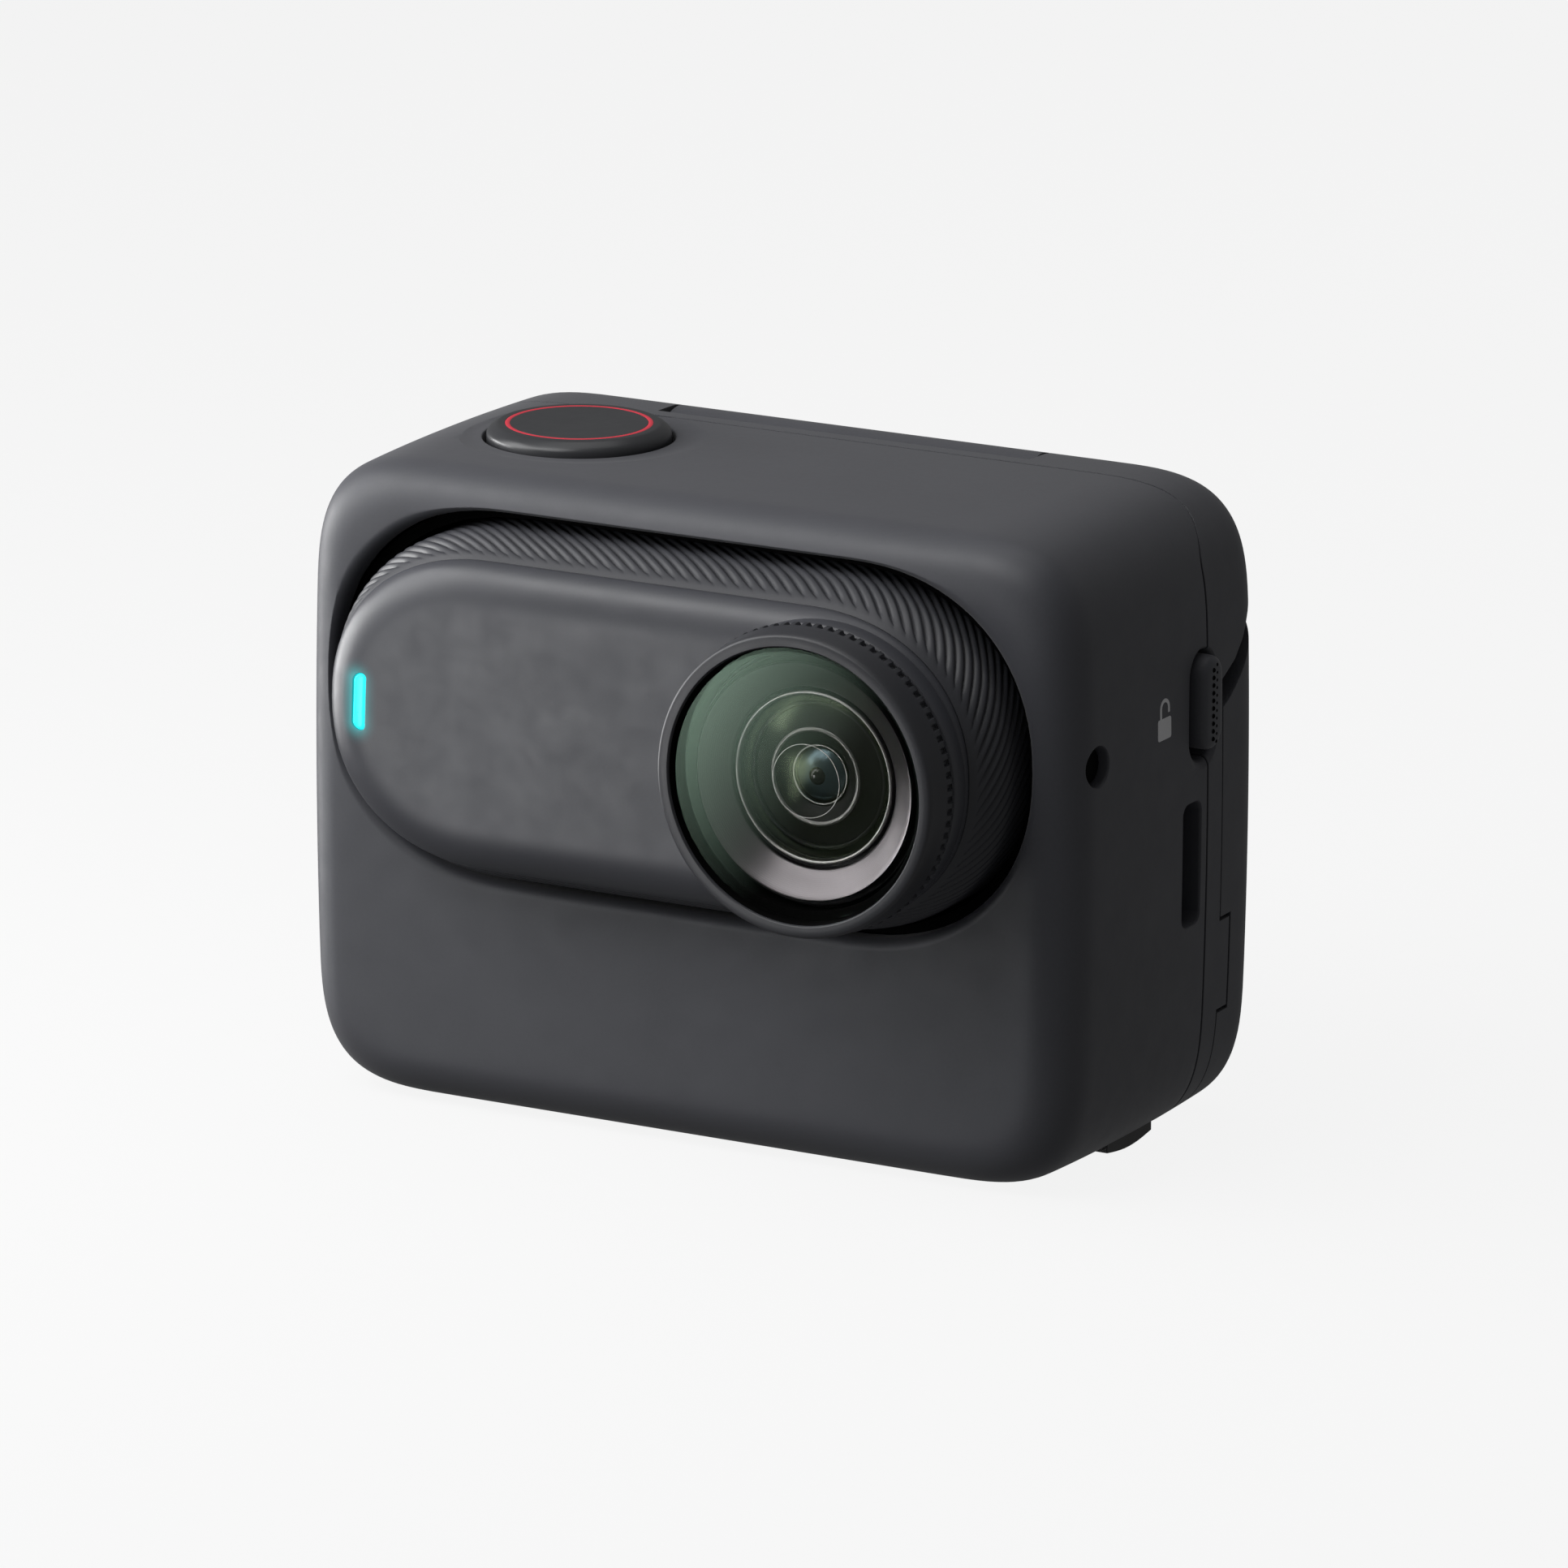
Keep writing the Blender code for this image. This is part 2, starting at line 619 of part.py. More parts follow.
def latch_spring(colour, parent):
    """The coil spring that holds the release switch up."""
    turns, per_turn, coil_r, wire_r = 4, 10, 0.85, 0.2
    low, high = 26.3, 29.7
    wire = bpy.data.curves.new("latch_spring", "CURVE")
    wire.dimensions = "3D"
    wire.bevel_depth = wire_r * MM
    wire.bevel_resolution = 0
    wire.use_fill_caps = True
    path = wire.splines.new("POLY")
    count = turns * per_turn + 1
    path.points.add(count - 1)
    for i in range(count):
        angle = math.tau * i / per_turn
        z = low + (high - low) * i / (count - 1)
        point = (24.6 + coil_r * math.cos(angle), 2.75 + coil_r * math.sin(angle), z)
        path.points[i].co = (*[c * MM for c in point], 1.0)
    wire.materials.append(colour)
    spring = bpy.data.objects.new("latch_spring", wire)
    bpy.context.collection.objects.link(spring)
    spring.parent = parent
    spring.matrix_parent_inverse = parent.matrix_world.inverted()
    return spring


# ---------------------------------------------------------------- flip screen


def screen_shell(colour, parent):
    """The screen's case: the pod's envelope behind the panel face, plus the arm up to the hinge."""
    shell = finish("screen_shell", pod_solid(), colour, parent)
    panel = [(PANEL_FRONT_Y, -1.0), *PANEL_TOP, (17.0, -1.0)]
    region = helper("shell_region", prism(panel, "X", -40.0, 40.0))
    start = angle_at(PANEL_FRONT_Y - HINGE_Y, KNUCKLE_R, -1)
    stop = angle_at(ARM_BACK_Y - HINGE_Y, KNUCKLE_R, -1) - 360
    arm = [(PANEL_FRONT_Y, 30.0)]
    arm += arc((HINGE_Y, HINGE_Z), KNUCKLE_R, start, stop, 24)
    arm += [(ARM_BACK_Y, 30.0)]
    join(region, helper("arm_region", prism(arm, "X", -ARM_HALF, ARM_HALF)))
    combine(shell, region, "INTERSECT")
    low, high = FINGER_TAB
    tab_space = block((low[0] - GAP, 7.0, low[2] - GAP), (high[0], high[1] + GAP, high[2] + GAP))
    (x0, y0, z0), (x1, y1, z1) = SCREEN_POCKET
    outline = rounded_rectangle(x1, (z1 - z0) / 2, SCREEN_CORNER, 2.4, 5)
    pocket = prism([(x, z + (z0 + z1) / 2) for x, z in outline], "Y", y0, y1)
    cut(
        shell,
        helper("tab_space", tab_space),
        helper("screen_pocket", pocket),
        helper("shaft_bore_right", rod("X", (HINGE_Y, HINGE_Z), SHAFT_BORE_R, 12.0, 16.0)),
        helper("shaft_bore_left", rod("X", (HINGE_Y, HINGE_Z), SHAFT_BORE_R, -16.0, -12.0)),
    )
    return shell


def screen_layer(name, inset, low, high, colour, parent):
    """A rounded sheet in the screen's pocket."""
    (_, _, z0), (x1, _, z1) = SCREEN_POCKET
    outline = rounded_rectangle(x1 - inset, (z1 - z0) / 2 - inset, SCREEN_CORNER - inset, 2.4, 5)
    return finish(name, prism([(x, z + (z0 + z1) / 2) for x, z in outline], "Y", low, high), colour, parent)


def flip_screen(colours, parent):
    screen_shell(colours["housing"], parent)
    screen_layer("screen_glass", GAP, 13.85, 14.6, colours["glass_black"], parent)
    screen_layer("display_panel", 2.4, 12.3, 13.5, colours["display"], parent)
    screen_layer("screen_board", 3.4, 10.95, 11.9, colours["board"], parent)
    for name, low, high in (("hinge_shaft_right", 12.4, 24.4), ("hinge_shaft_left", -24.4, -12.4)):
        finish(name, rod("X", (HINGE_Y, HINGE_Z), SHAFT_R, low, high), colours["steel"], parent)


# ---------------------------------------------------------------- controls


def shutter_button(colours, parent):
    """The record button: a bevelled cap, hollow over its dome switch, with a red ring let into its top."""
    top = SHUTTER_TOP_Z
    r0, r1 = RED_RING_R
    groove = top - 0.6
    profile = [(0, top), (r0 - GAP, top), (r0 - GAP, groove), (r1 + GAP, groove), (r1 + GAP, top)]
    profile += [(5.9, top), (6.4, top - 0.25), (SHUTTER_R, top - 0.75), (SHUTTER_R, 46.05)]
    profile += [(SHUTTER_FLANGE_R, 46.05), (SHUTTER_FLANGE_R, 45.75), (3.2, 45.75), (3.2, 46.9), (0, 46.9)]
    centre = (SHUTTER_X, SHUTTER_Y)
    finish("shutter_button", turned(profile, "Z", centre), colours["black"], parent)
    red_ring = tube("Z", centre, r0, r1, groove + GAP, top, ROUND_STEPS)
    finish("shutter_red_ring", red_ring, colours["red"], parent)


def release_switch(colours, parent):
    """The slide on the right side and the hook that it carries, which locks the camera in the bay."""
    y0, y1, z0, z1 = KNOB_YZ
    knob_rings = []
    for inset, x in ((0.0, 29.2), (0.0, 32.0), (0.2, 32.4), (0.55, KNOB_FACE_X)):
        outline = stadium(y0 + inset, y1 - inset, z0 + inset, z1 - inset)
        knob_rings.append([(x, a, b) for a, b in outline])
    finish("release_knob", loft(knob_rings), colours["housing"], parent)
    hook = finish("latch_hook", block((18.4, 1.65, 30.2), (28.9, 3.6, 35.6), 0.3), colours["steel"], parent)
    join(hook, helper("hook_tooth", block((20.0, -0.35, 32.0), (22.0, 2.4, 34.5), 0.25)))


def side_button(name, heights, colour, parent):
    """An oval button on the left side, with a flange inside the wall."""
    rings = []
    for grow, x in ((0.0, -30.0), (0.0, -31.7), (-0.3, SIDE_BUTTON_FACE_X)):
        outline = stadium(*grown(SIDE_BUTTON_Y, grow), *grown(heights, grow))
        rings.append([(x, a, b) for a, b in outline])
    outline = stadium(*grown(SIDE_BUTTON_Y, 0.5), *grown(heights, 0.5))
    flange = [[(x, a, b) for a, b in outline] for x in (-29.3, -29.7)]
    return finish(name, loft([*flange, *rings]), colour, parent)


# ---------------------------------------------------------------- camera


def camera_tub(colour, parent):
    """The ribbed rear half of the pill, open at the cover seam."""
    seam = COVER_SEAM_Y + GAP / 2
    steps = (
        (3.4, CAMERA_BACK_Y - SHELL),
        (SHELL + 0.4, -2.4),
        (SHELL, -4.0),
        (SHELL, -15.0),
        (COVER_SEAM_INSET + SHELL, seam),
        (COVER_SEAM_INSET, seam),
        (0.85, -17.4),
        (0.35, -16.4),
        (0.0, -14.8),
        (0.0, -3.0),
        (0.45, -1.2),
        (1.1, -0.3),
        (2.2, CAMERA_BACK_Y),
    )
    tub = finish("camera_tub", loft([pill_ring(inset, y) for inset, y in steps]), colour, parent)
    socket_low = (HOOK_SLOT[0][0], -0.7, HOOK_SLOT[0][2])
    socket_high = (HOOK_SLOT[1][0], 1.0, HOOK_SLOT[1][2])
    cut(
        tub,
        helper("latch_socket", block(socket_low, socket_high)),
        helper("pad_recess", block((-6.6, -0.4, 22.2), (6.6, 1.0, 25.5))),
    )
    return tub


def camera_cover(colour, parent):
    """The front cover with the round boss that the lens guard seats against."""
    seam = COVER_SEAM_Y - GAP / 2
    steps = (
        (5.4, COVER_FRONT_Y + SHELL),
        (COVER_SEAM_INSET + SHELL, seam),
        (COVER_SEAM_INSET, seam),
        (1.7, -19.0),
        (2.4, -19.65),
        (3.6, -20.15),
        (5.4, COVER_FRONT_Y),
    )
    cover = finish("camera_cover", loft([pill_ring(inset, y) for inset, y in steps]), colour, parent)
    lens = (LENS_X, LENS_Z)
    boss = [(0, -19.4), (10.45, -19.4), (BOSS_R, -20.0), (BOSS_R, BOSS_FRONT_Y + 0.2)]
    boss += [(BOSS_R - 0.2, BOSS_FRONT_Y), (0, BOSS_FRONT_Y)]
    join(cover, helper("lens_boss", turned(boss, "Y", lens)))
    light = [(x, z) for x, z in stadium(*grown(STATUS_LIGHT_X), *grown(STATUS_LIGHT_Z), 5)]
    front, rear = BOSS_FRONT_Y - 0.1, -17.1
    bore = [(0, front), (NECK_R + GAP, front), (NECK_R + 0.45, rear), (0, rear)]
    cut(
        cover,
        helper("lens_bore", turned(bore, "Y", lens, 36)),
        helper("light_slot", prism(light, "Y", -22.0, -18.0)),
    )
    return cover


def lens_parts(colours, parent):
    """The barrel, its silver bezel, the glass and the rings inside, from front to back."""
    lens = (LENS_X, LENS_Z)
    barrel = [(NECK_R, -22.35), (NECK_R, -8.0), (4.6, -8.0), (4.6, -13.0)]
    barrel += [(6.4, -13.0), (6.4, -20.9), (8.9, -22.35)]
    finish("lens_barrel", turned(barrel, "Y", lens), colours["black"], parent)
    bezel = [(6.65, -21.6), (8.65, -22.95), (8.65, -22.6), (6.65, -21.3)]
    finish("lens_bezel_ring", turned(bezel, "Y", lens), colours["bezel"], parent)
    front = dome(6.0, -22.9, 1.6, 8)
    back = [(r, y + 0.75) for r, y in dome(5.4, -22.9, 1.3, 6)]
    element = front + [(6.0, -20.7), (5.4, -20.7)] + back[::-1]
    finish("lens_front_element", turned(element, "Y", lens), colours["glass"], parent)
    ring = [(3.2, -21.2), (3.6, -21.2), (3.75, -21.0), (5.05, -20.6)]
    ring += [(5.05, -20.0), (2.5, -20.0), (2.5, -20.5)]
    finish("lens_inner_ring", turned(ring, "Y", lens), colours["black"], parent)
    small = dome(2.1, -20.9, 0.5, 5) + [(2.1, -17.5), (0, -17.5)]
    finish("lens_rear_element", turned(small, "Y", lens, 24), colours["glass"], parent)
    group = [(0, -17.1), (4.2, -17.1), (4.2, -8.6), (0, -8.6)]
    finish("lens_rear_group", turned(group, "Y", lens, 24), colours["black"], parent)


def dome(radius, apex_y, sag, steps):
    """(radius, y) points of a spherical cap from its apex to its rim."""
    sphere = (radius**2 + sag**2) / (2 * sag)
    points = []
    for i in range(steps + 1):
        r = radius * i / steps
        points.append((r, apex_y + sphere - math.sqrt(sphere**2 - r**2)))
    return points


def camera_internals(colours, parent):
    sensor = block((11.1, -7.6, LENS_Z - 2.8), (18.1, -6.9, LENS_Z + 2.8))
    finish("image_sensor", sensor, colours["glass_black"], parent)
    sensor_board = block((7.6, -6.6, LENS_Z - 6), (21.6, -6.0, LENS_Z + 6))
    finish("sensor_board", sensor_board, colours["board"], parent)
    finish("camera_battery", block((-20.0, -16.0, 22.8), (3.6, -4.0, 39.2), 0.8), colours["battery"], parent)
    finish("camera_board", block((-19.0, -3.5, 22.8), (19.0, -2.8, 39.2)), colours["board"], parent)
    for name, x in (("camera_magnet_left", -14.0), ("camera_magnet_right", 4.0)):
        finish(name, rod("Y", (x, 30.0), 3.2, -2.45, -1.35, 20), colours["steel"], parent)
    finish("camera_contact_plate", block((-6.2, -0.1, 22.6), (6.2, 0.15, 25.1)), colours["gold"], parent)
    light = stadium(*STATUS_LIGHT_X, *STATUS_LIGHT_Z, 5)
    finish("status_light_window", prism(light, "Y", -20.3, -19.5), colours["light"], parent)


def lens_guard(colours, parent):
    """The guard that twists off the lens: a knurled ring with a flat glass."""
    lens = (LENS_X, LENS_Z)
    bore = GUARD_BORE_R
    profile = [(bore, GUARD_REAR_Y), (bore, -23.1), (10.0, -23.1), (10.0, -24.35), (10.2, GUARD_FRONT_Y)]
    profile += [(10.5, GUARD_FRONT_Y), (10.95, -24.0), (GUARD_R, -22.7), (GUARD_R, GUARD_REAR_Y)]
    finish("guard_ring", turned(profile, "Y", lens), colours["guard"], parent)
    finish("guard_glass", rod("Y", lens, 9.7, -24.1, -23.4, ROUND_STEPS), colours["glass"], parent)


# ---------------------------------------------------------------- the whole object


def make_colours():
    return {
        "housing": make_material("graphite_soft_touch", (0.045, 0.047, 0.052), 0.45),
        "camera": make_material("camera_graphite", (0.05, 0.052, 0.057), 0.42),
        "black": make_material("black_plastic", (0.012, 0.012, 0.013), 0.4),
        "guard": make_material("guard_black", (0.03, 0.03, 0.033), 0.35),
        "bezel": make_material("bezel_silver", (0.42, 0.39, 0.4), 0.3, 0.7),
        "red": make_material("red_ring", (0.75, 0.06, 0.08), 0.4),
        "light": make_material("status_light", (0.1, 0.85, 0.85), 0.3),
        "glass": make_material("lens_glass", (0.5, 0.62, 0.55), 0.03),
        "glass_black": make_material("screen_glass", (0.006, 0.006, 0.007), 0.06),
        "display": make_material("display_stack", (0.02, 0.022, 0.028), 0.2),
        "steel": make_material("steel", (0.56, 0.56, 0.57), 0.3, 1.0),
        "gold": make_material("contact_gold", (0.83, 0.62, 0.25), 0.25, 1.0),
        "board": make_material("circuit_board", (0.02, 0.1, 0.05), 0.5),
        "battery": make_material("battery_wrap", (0.1, 0.1, 0.11), 0.5),
    }


def main():
    clear_scene()
    colours = make_colours()
    pod = make_empty("pod_frame", 0, 0, 0)
    knob_hole = helper("knob_hole", prism(stadium(*KNOB_HOLE_YZ), "X", 26.0, 35.0))
    front_housing(colours["housing"], pod, knob_hole)
    bay_liner(colours["black"], pod)
    rear_housing(colours["housing"], pod, knob_hole)
    base_plate(colours["black"], pod)
    latch_insert("base_latch_insert_right", 1, colours["black"], pod)
    latch_insert("base_latch_insert_left", -1, colours["black"], pod)
    pod_internals(colours, pod)
    flip_screen(colours, make_empty("screen_hinge_axis", 0, HINGE_Y, HINGE_Z, pod))
    shutter_button(colours, make_empty("shutter_axis", SHUTTER_X, SHUTTER_Y, SHUTTER_TOP_Z, pod))
    release_switch(colours, make_empty("release_axis", KNOB_FACE_X, sum(KNOB_YZ[:2]) / 2, KNOB_YZ[2], pod))
    middle = sum(SIDE_BUTTON_Y) / 2
    for name, heights in (("power_button", POWER_BUTTON_Z), ("quick_button", QUICK_BUTTON_Z)):
        axis = make_empty(f"{name}_axis", SIDE_BUTTON_FACE_X, middle, sum(heights) / 2, pod)
        side_button(name, heights, colours["black"], axis)
    camera = make_empty("camera_axis", PILL_X, CAMERA_BACK_Y, PILL_Z, pod)
    camera_tub(colours["camera"], camera)
    camera_cover(colours["camera"], camera)
    lens_parts(colours, camera)
    camera_internals(colours, camera)
    lens_guard(colours, make_empty("lens_axis", LENS_X, GUARD_REAR_Y, LENS_Z, camera))


main()
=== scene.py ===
"""The looks of the action camera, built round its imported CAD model.

Lengths in this file are millimetres unless a name says otherwise, and the mesh helpers turn them into metres.
The frame is the CAD's: +X right seen from the front, the lens faces -Y, +Z up, origin under the pod's base.
"""

import bisect
import json
import math

import bmesh
import bpy
from mathutils import Matrix, Vector


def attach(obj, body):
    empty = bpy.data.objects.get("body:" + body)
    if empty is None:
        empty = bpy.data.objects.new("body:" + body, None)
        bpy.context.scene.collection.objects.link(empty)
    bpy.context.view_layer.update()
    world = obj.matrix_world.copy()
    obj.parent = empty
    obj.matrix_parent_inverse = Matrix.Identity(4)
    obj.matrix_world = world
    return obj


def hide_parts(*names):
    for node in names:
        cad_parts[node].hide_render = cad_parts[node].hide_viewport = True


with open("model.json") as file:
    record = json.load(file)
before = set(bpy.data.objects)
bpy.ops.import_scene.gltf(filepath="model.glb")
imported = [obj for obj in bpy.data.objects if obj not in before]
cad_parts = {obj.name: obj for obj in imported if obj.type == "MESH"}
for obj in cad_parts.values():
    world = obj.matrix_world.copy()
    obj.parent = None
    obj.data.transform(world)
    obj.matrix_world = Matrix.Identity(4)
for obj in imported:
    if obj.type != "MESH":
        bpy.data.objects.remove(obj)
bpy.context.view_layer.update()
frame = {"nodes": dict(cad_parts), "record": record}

MM = 0.001

# Pod envelope
POD_WIDTH = 63.5
POD_HEIGHT = 47.6
POD_CORNER = 11.5
POD_CORNER_EXPONENT = 3.6
SIDE_CROWN = 0.6
END_TAPER = 0.3
FRONT_Y = -14.75
REAR_Y = 14.75
FRONT_FILLET = 4.0
REAR_FILLET = 3.8
FILLET_EXPONENT = 2.6
WALL = 1.6
SEAM_Y = 5.6
SEAM_TOP_Y = 7.7
SEAM_DRIFT_Z = (42.0, 47.0)
SEAM_HALF = 0.085
GAP = 0.3

# Flip screen, its hinge and the space they turn in
PLATE_REAR_Y = 7.9
STRIP_REAR_Y = 9.1
PANEL_FRONT_Y = 8.05
HINGE = (11.7, 43.3)
KNUCKLE_R = 4.1
ARM_POCKET_R = KNUCKLE_R + GAP
ARM_HALF = 15.0
ARM_REAR_Y = 13.7
SHAFT_R = 0.9
CHEEK_SPACE = ((17.3, 26.5), (5.9, 13.75), (41.1, 45.5))
SCREEN_MIDDLE_Z = 19.1
SCREEN_HALF = (27.0, 15.9)
SCREEN_CORNER = 4.0
HUMP = ((PLATE_REAR_Y, 33.6), (10.0, 34.6), (11.3, 35.8), (12.3, 37.2), (13.6, 38.7), (17.0, 40.0))
HUMP_CASE = ((PANEL_FRONT_Y, 33.45), (10.0, 34.4), (12.3, 36.95))
CORNER_EDGE = (
    (8.05, 31.5), (9.0, 31.9), (10.0, 32.5), (11.0, 33.25), (12.0, 34.15), (13.0, 35.2), (14.0, 36.4),
)
CORNER_FLOOR_X = 30.2

# Camera pill
PILL = {"x": -0.6, "z": 31.0, "half_length": 27.2, "half_height": 12.8, "end": 14.5, "exponent": 2.2}
OPENING = {"x": -0.45, "z": 31.2, "half_length": 28.4, "half_height": 13.65, "end": 14.5, "exponent": 2.2}
COVER_SEAM_Y = -18.2
COVER_SEAM_HALF = 0.06
COVER_SEAM_INSET = 1.45
COVER_FRONT_Y = -20.4
COVER_EXPONENT = 2.15
CAMERA_BACK_Y = 0.2
RIB_COUNT = 126
RIB_SAMPLES = 10
RIB_DEPTH = 0.3
RIB_SLANT = 1.12
RIB_SPAN_Y = (-18.0, -11.0)
LENS = (14.6, 30.95)
LENS_SIDES = 160
LED_X = -23.29
LED_Z = (29.2, 33.35)
LED_HALF_WIDTH = 0.51
LED_BOW = 0.07
TEETH = 80
LIPS = (
    ("inner_lip", 3.4, -21.3, 0.16),
    ("stop_lip", 2.12, -20.6, 0.05),
    # The third ring is a thin grey metal ring on the front element's face: a painted glint where the dome
    # shows a reflection.
    ("painted_glint_ring", 2.64, -22.625, 0.025),
)

# Controls and openings of the pod
SHUTTER = (-16.4, -0.5)
SHUTTER_TOP_Z = 48.45
SHUTTER_R = 6.7
SHUTTER_SKIRT = (7.5, 45.75, 46.05)
RED_RING = (5.0, 5.36)
KNOB_SPAN = (3.4, 6.4, 29.2, 36.1)
KNOB_STEPS = (
    (29.2, 0), (31.7, 0), (32.1, -0.04), (32.32, -0.14), (32.45, -0.3), (32.52, -0.5), (32.55, -0.75),
)
KNOB_HOLE = (3.1, 6.7, 28.3, 36.4)
KNOB_HOLE_STEPS = ((26, 0), (31.1, 0), (31.35, 0.08), (31.5, 0.22), (31.65, 0.5), (31.8, 0.9), (33, 2.0))
GRIP_DOT_R = 0.19
GRIP_PITCH = 0.56
SIDE_BUTTON_Y = (1.9, 4.3)
SIDE_BUTTONS = {"power_button": (34.0, 37.2), "quick_button": (23.5, 30.5)}
BUTTON_HOLE_STEPS = ((-35, 0.4), (-31.75, 0.12), (-31.5, 0), (-29, 0))
MICROPHONE = (-11.0, 31.5)
MICROPHONE_HOLE = ((0, 27), (1.5, 27), (1.5, 31.4), (1.53, 31.5), (1.62, 31.62), (1.8, 32.2), (0, 32.2))
USB_MIDDLE = (3.15, 21.05)
USB_HALF = (1.38, 4.5)
USB_CORNER = 0.75
USB_STEPS = ((26, 0), (31.5, 0), (31.62, 0.04), (31.8, 0.14))
SPEAKER_SLOT_Z = (8.0, 10.2, 12.4)
SPEAKER_SLOT_Y = (-7.0, -2.5)
SCREW_PLACES = ((-26.2, 4.5), (26.2, 4.5), (-12.0, 37.0), (12.0, 37.0))

# Stage
CARD_DISTANCE = 260.0
CARD_HALF = 60.0
WORLD_LIGHT = 0.15
WORLD_BACKDROP = 0.939

# Colours
HOUSING = (0.048, 0.0495, 0.0585)
CAMERA = (0.05, 0.0515, 0.06)
CYAN = (0.02, 0.82, 0.85)
WHITE = (1.0, 1.0, 1.0, 1.0)
BLACK = (0.0, 0.0, 0.0, 1.0)

# Camera of the picture
VIEW_AZIMUTH = 29.007
VIEW_ELEVATION = 15.0505
VIEW_ROLL = 0.189
VIEW_DISTANCE = 856.28
VIEW_AIM_Z = 23.8
VIEW_ANGLE = 7.549
VIEW_SHIFT = (0.00243, -0.00252)


# ------------ meshes


def smooth_step(value, low, high):
    t = min(max((value - low) / (high - low), 0.0), 1.0)
    return t * t * (3 - 2 * t)


def solid(name, mesh_data, sharp=35.0):
    """Turns a bmesh in millimetres into an object in metres, shaded smooth up to that angle."""
    bmesh.ops.recalc_face_normals(mesh_data, faces=mesh_data.faces)
    bmesh.ops.scale(mesh_data, vec=(MM, MM, MM), verts=mesh_data.verts)
    mesh = bpy.data.meshes.new(name)
    mesh_data.to_mesh(mesh)
    mesh_data.free()
    mesh.shade_smooth()
    mesh.set_sharp_from_angle(angle=math.radians(sharp))
    obj = bpy.data.objects.new(name, mesh)
    bpy.context.collection.objects.link(obj)
    return obj


def carve(obj, *steps, sharp=35.0):
    """Applies (operation, cutter) Booleans in order and removes the cutters."""
    for operation, cutter in steps:
        modifier = obj.modifiers.new(operation, "BOOLEAN")
        modifier.operation = operation
        modifier.solver = "EXACT"
        modifier.object = cutter
    bpy.context.view_layer.update()
    graph = bpy.context.evaluated_depsgraph_get()
    mesh = bpy.data.meshes.new_from_object(obj.evaluated_get(graph))
    obj.modifiers.clear()
    obj.data = mesh
    mesh.shade_smooth()
    mesh.set_sharp_from_angle(angle=math.radians(sharp))
    for _, cutter in steps:
        bpy.data.objects.remove(cutter, do_unlink=True)
    return obj


def cut(name, mesh_data):
    """The step of carve that takes that shape away."""
    return "DIFFERENCE", solid(name, mesh_data)


def even_normals(obj):
    """Keeps large faces flat where small ones meet them."""
    modifier = obj.modifiers.new("even normals", "WEIGHTED_NORMAL")
    modifier.keep_sharp = True
    modifier.weight = 80
    return obj


def loft(rings, capped=True):
    """A skin over rings of equal length, capped at its first and last ring, or closed round on itself."""
    skin = bmesh.new()
    loops = [[skin.verts.new(point) for point in ring] for ring in rings]
    count = len(loops[0])
    pairs = list(zip(loops, loops[1:]))
    if not capped:
        pairs.append((loops[-1], loops[0]))
    for near, far in pairs:
        for i in range(count):
            j = (i + 1) % count
            skin.faces.new((near[i], near[j], far[j], far[i]))
    if capped:
        skin.faces.new(loops[0])
        skin.faces.new(loops[-1])
    return skin


def prism(outline, axis, low, high):
    """An outline of (a, b) points pulled along X, Y or Z. The pair is the other two axes in order."""
    rings = []
    for along in (low, high):
        ring = []
        for a, b in outline:
            point = [a, b]
            point.insert("XYZ".index(axis), along)
            ring.append(tuple(point))
        rings.append(ring)
    return loft(rings)


def turned(profile, axis, centre, steps=128, wave=None):
    """Turns (radius, height) points round an axis.

    wave(angle, radius, height) gives a radius to use instead.
    """
    skin = bmesh.new()
    closed = profile[0][0] == 0
    along = "XYZ".index(axis)
    rings = []
    for radius, height in profile:
        ring = []
        for i in range(1 if radius == 0 else steps):
            angle = math.tau * i / steps
            r = wave(angle, radius, height) if wave else radius
            point = [centre[0] + r * math.cos(angle), centre[1] + r * math.sin(angle)]
            point.insert(along, height)
            ring.append(skin.verts.new(point))
        rings.append(ring)
    following = rings[1:] if closed else rings[1:] + rings[:1]
    for near, far in zip(rings, following):
        for i in range(steps):
            j = (i + 1) % steps
            corners = [near[i % len(near)], near[j % len(near)], far[j % len(far)], far[i % len(far)]]
            skin.faces.new(list(dict.fromkeys(corners)))
    return skin


def rod(axis, centre, radius, low, high, steps=96):
    return turned([(0, low), (radius, low), (radius, high), (0, high)], axis, centre, steps)


def block(low, high):
    box = bmesh.new()
    bmesh.ops.create_cube(box, size=1.0)
    for vert in box.verts:
        for i in range(3):
            vert.co[i] = high[i] if vert.co[i] > 0 else low[i]
    return box


def stadium(a0, a1, b0, b1, steps=16):
    """A slot outline with round ends, longer along b."""
    radius = (a1 - a0) / 2
    middle = (a0 + a1) / 2
    points = []
    for centre, start in ((b1 - radius, 0.0), (b0 + radius, math.pi)):
        for i in range(steps + 1):
            angle = start + math.pi * i / steps
            points.append((middle + radius * math.cos(angle), centre + radius * math.sin(angle)))
    return points


def grown_span(span, grow):
    a0, a1, b0, b1 = span
    return a0 - grow, a1 + grow, b0 - grow, b1 + grow


def stadium_stack(span, steps):
    """A loft along X of stadiums in the YZ plane: each step is (x, how far the outline is grown)."""
    rings = []
    for x, grow in steps:
        rings.append([(x, a, b) for a, b in stadium(*grown_span(span, grow))])
    return loft(rings)


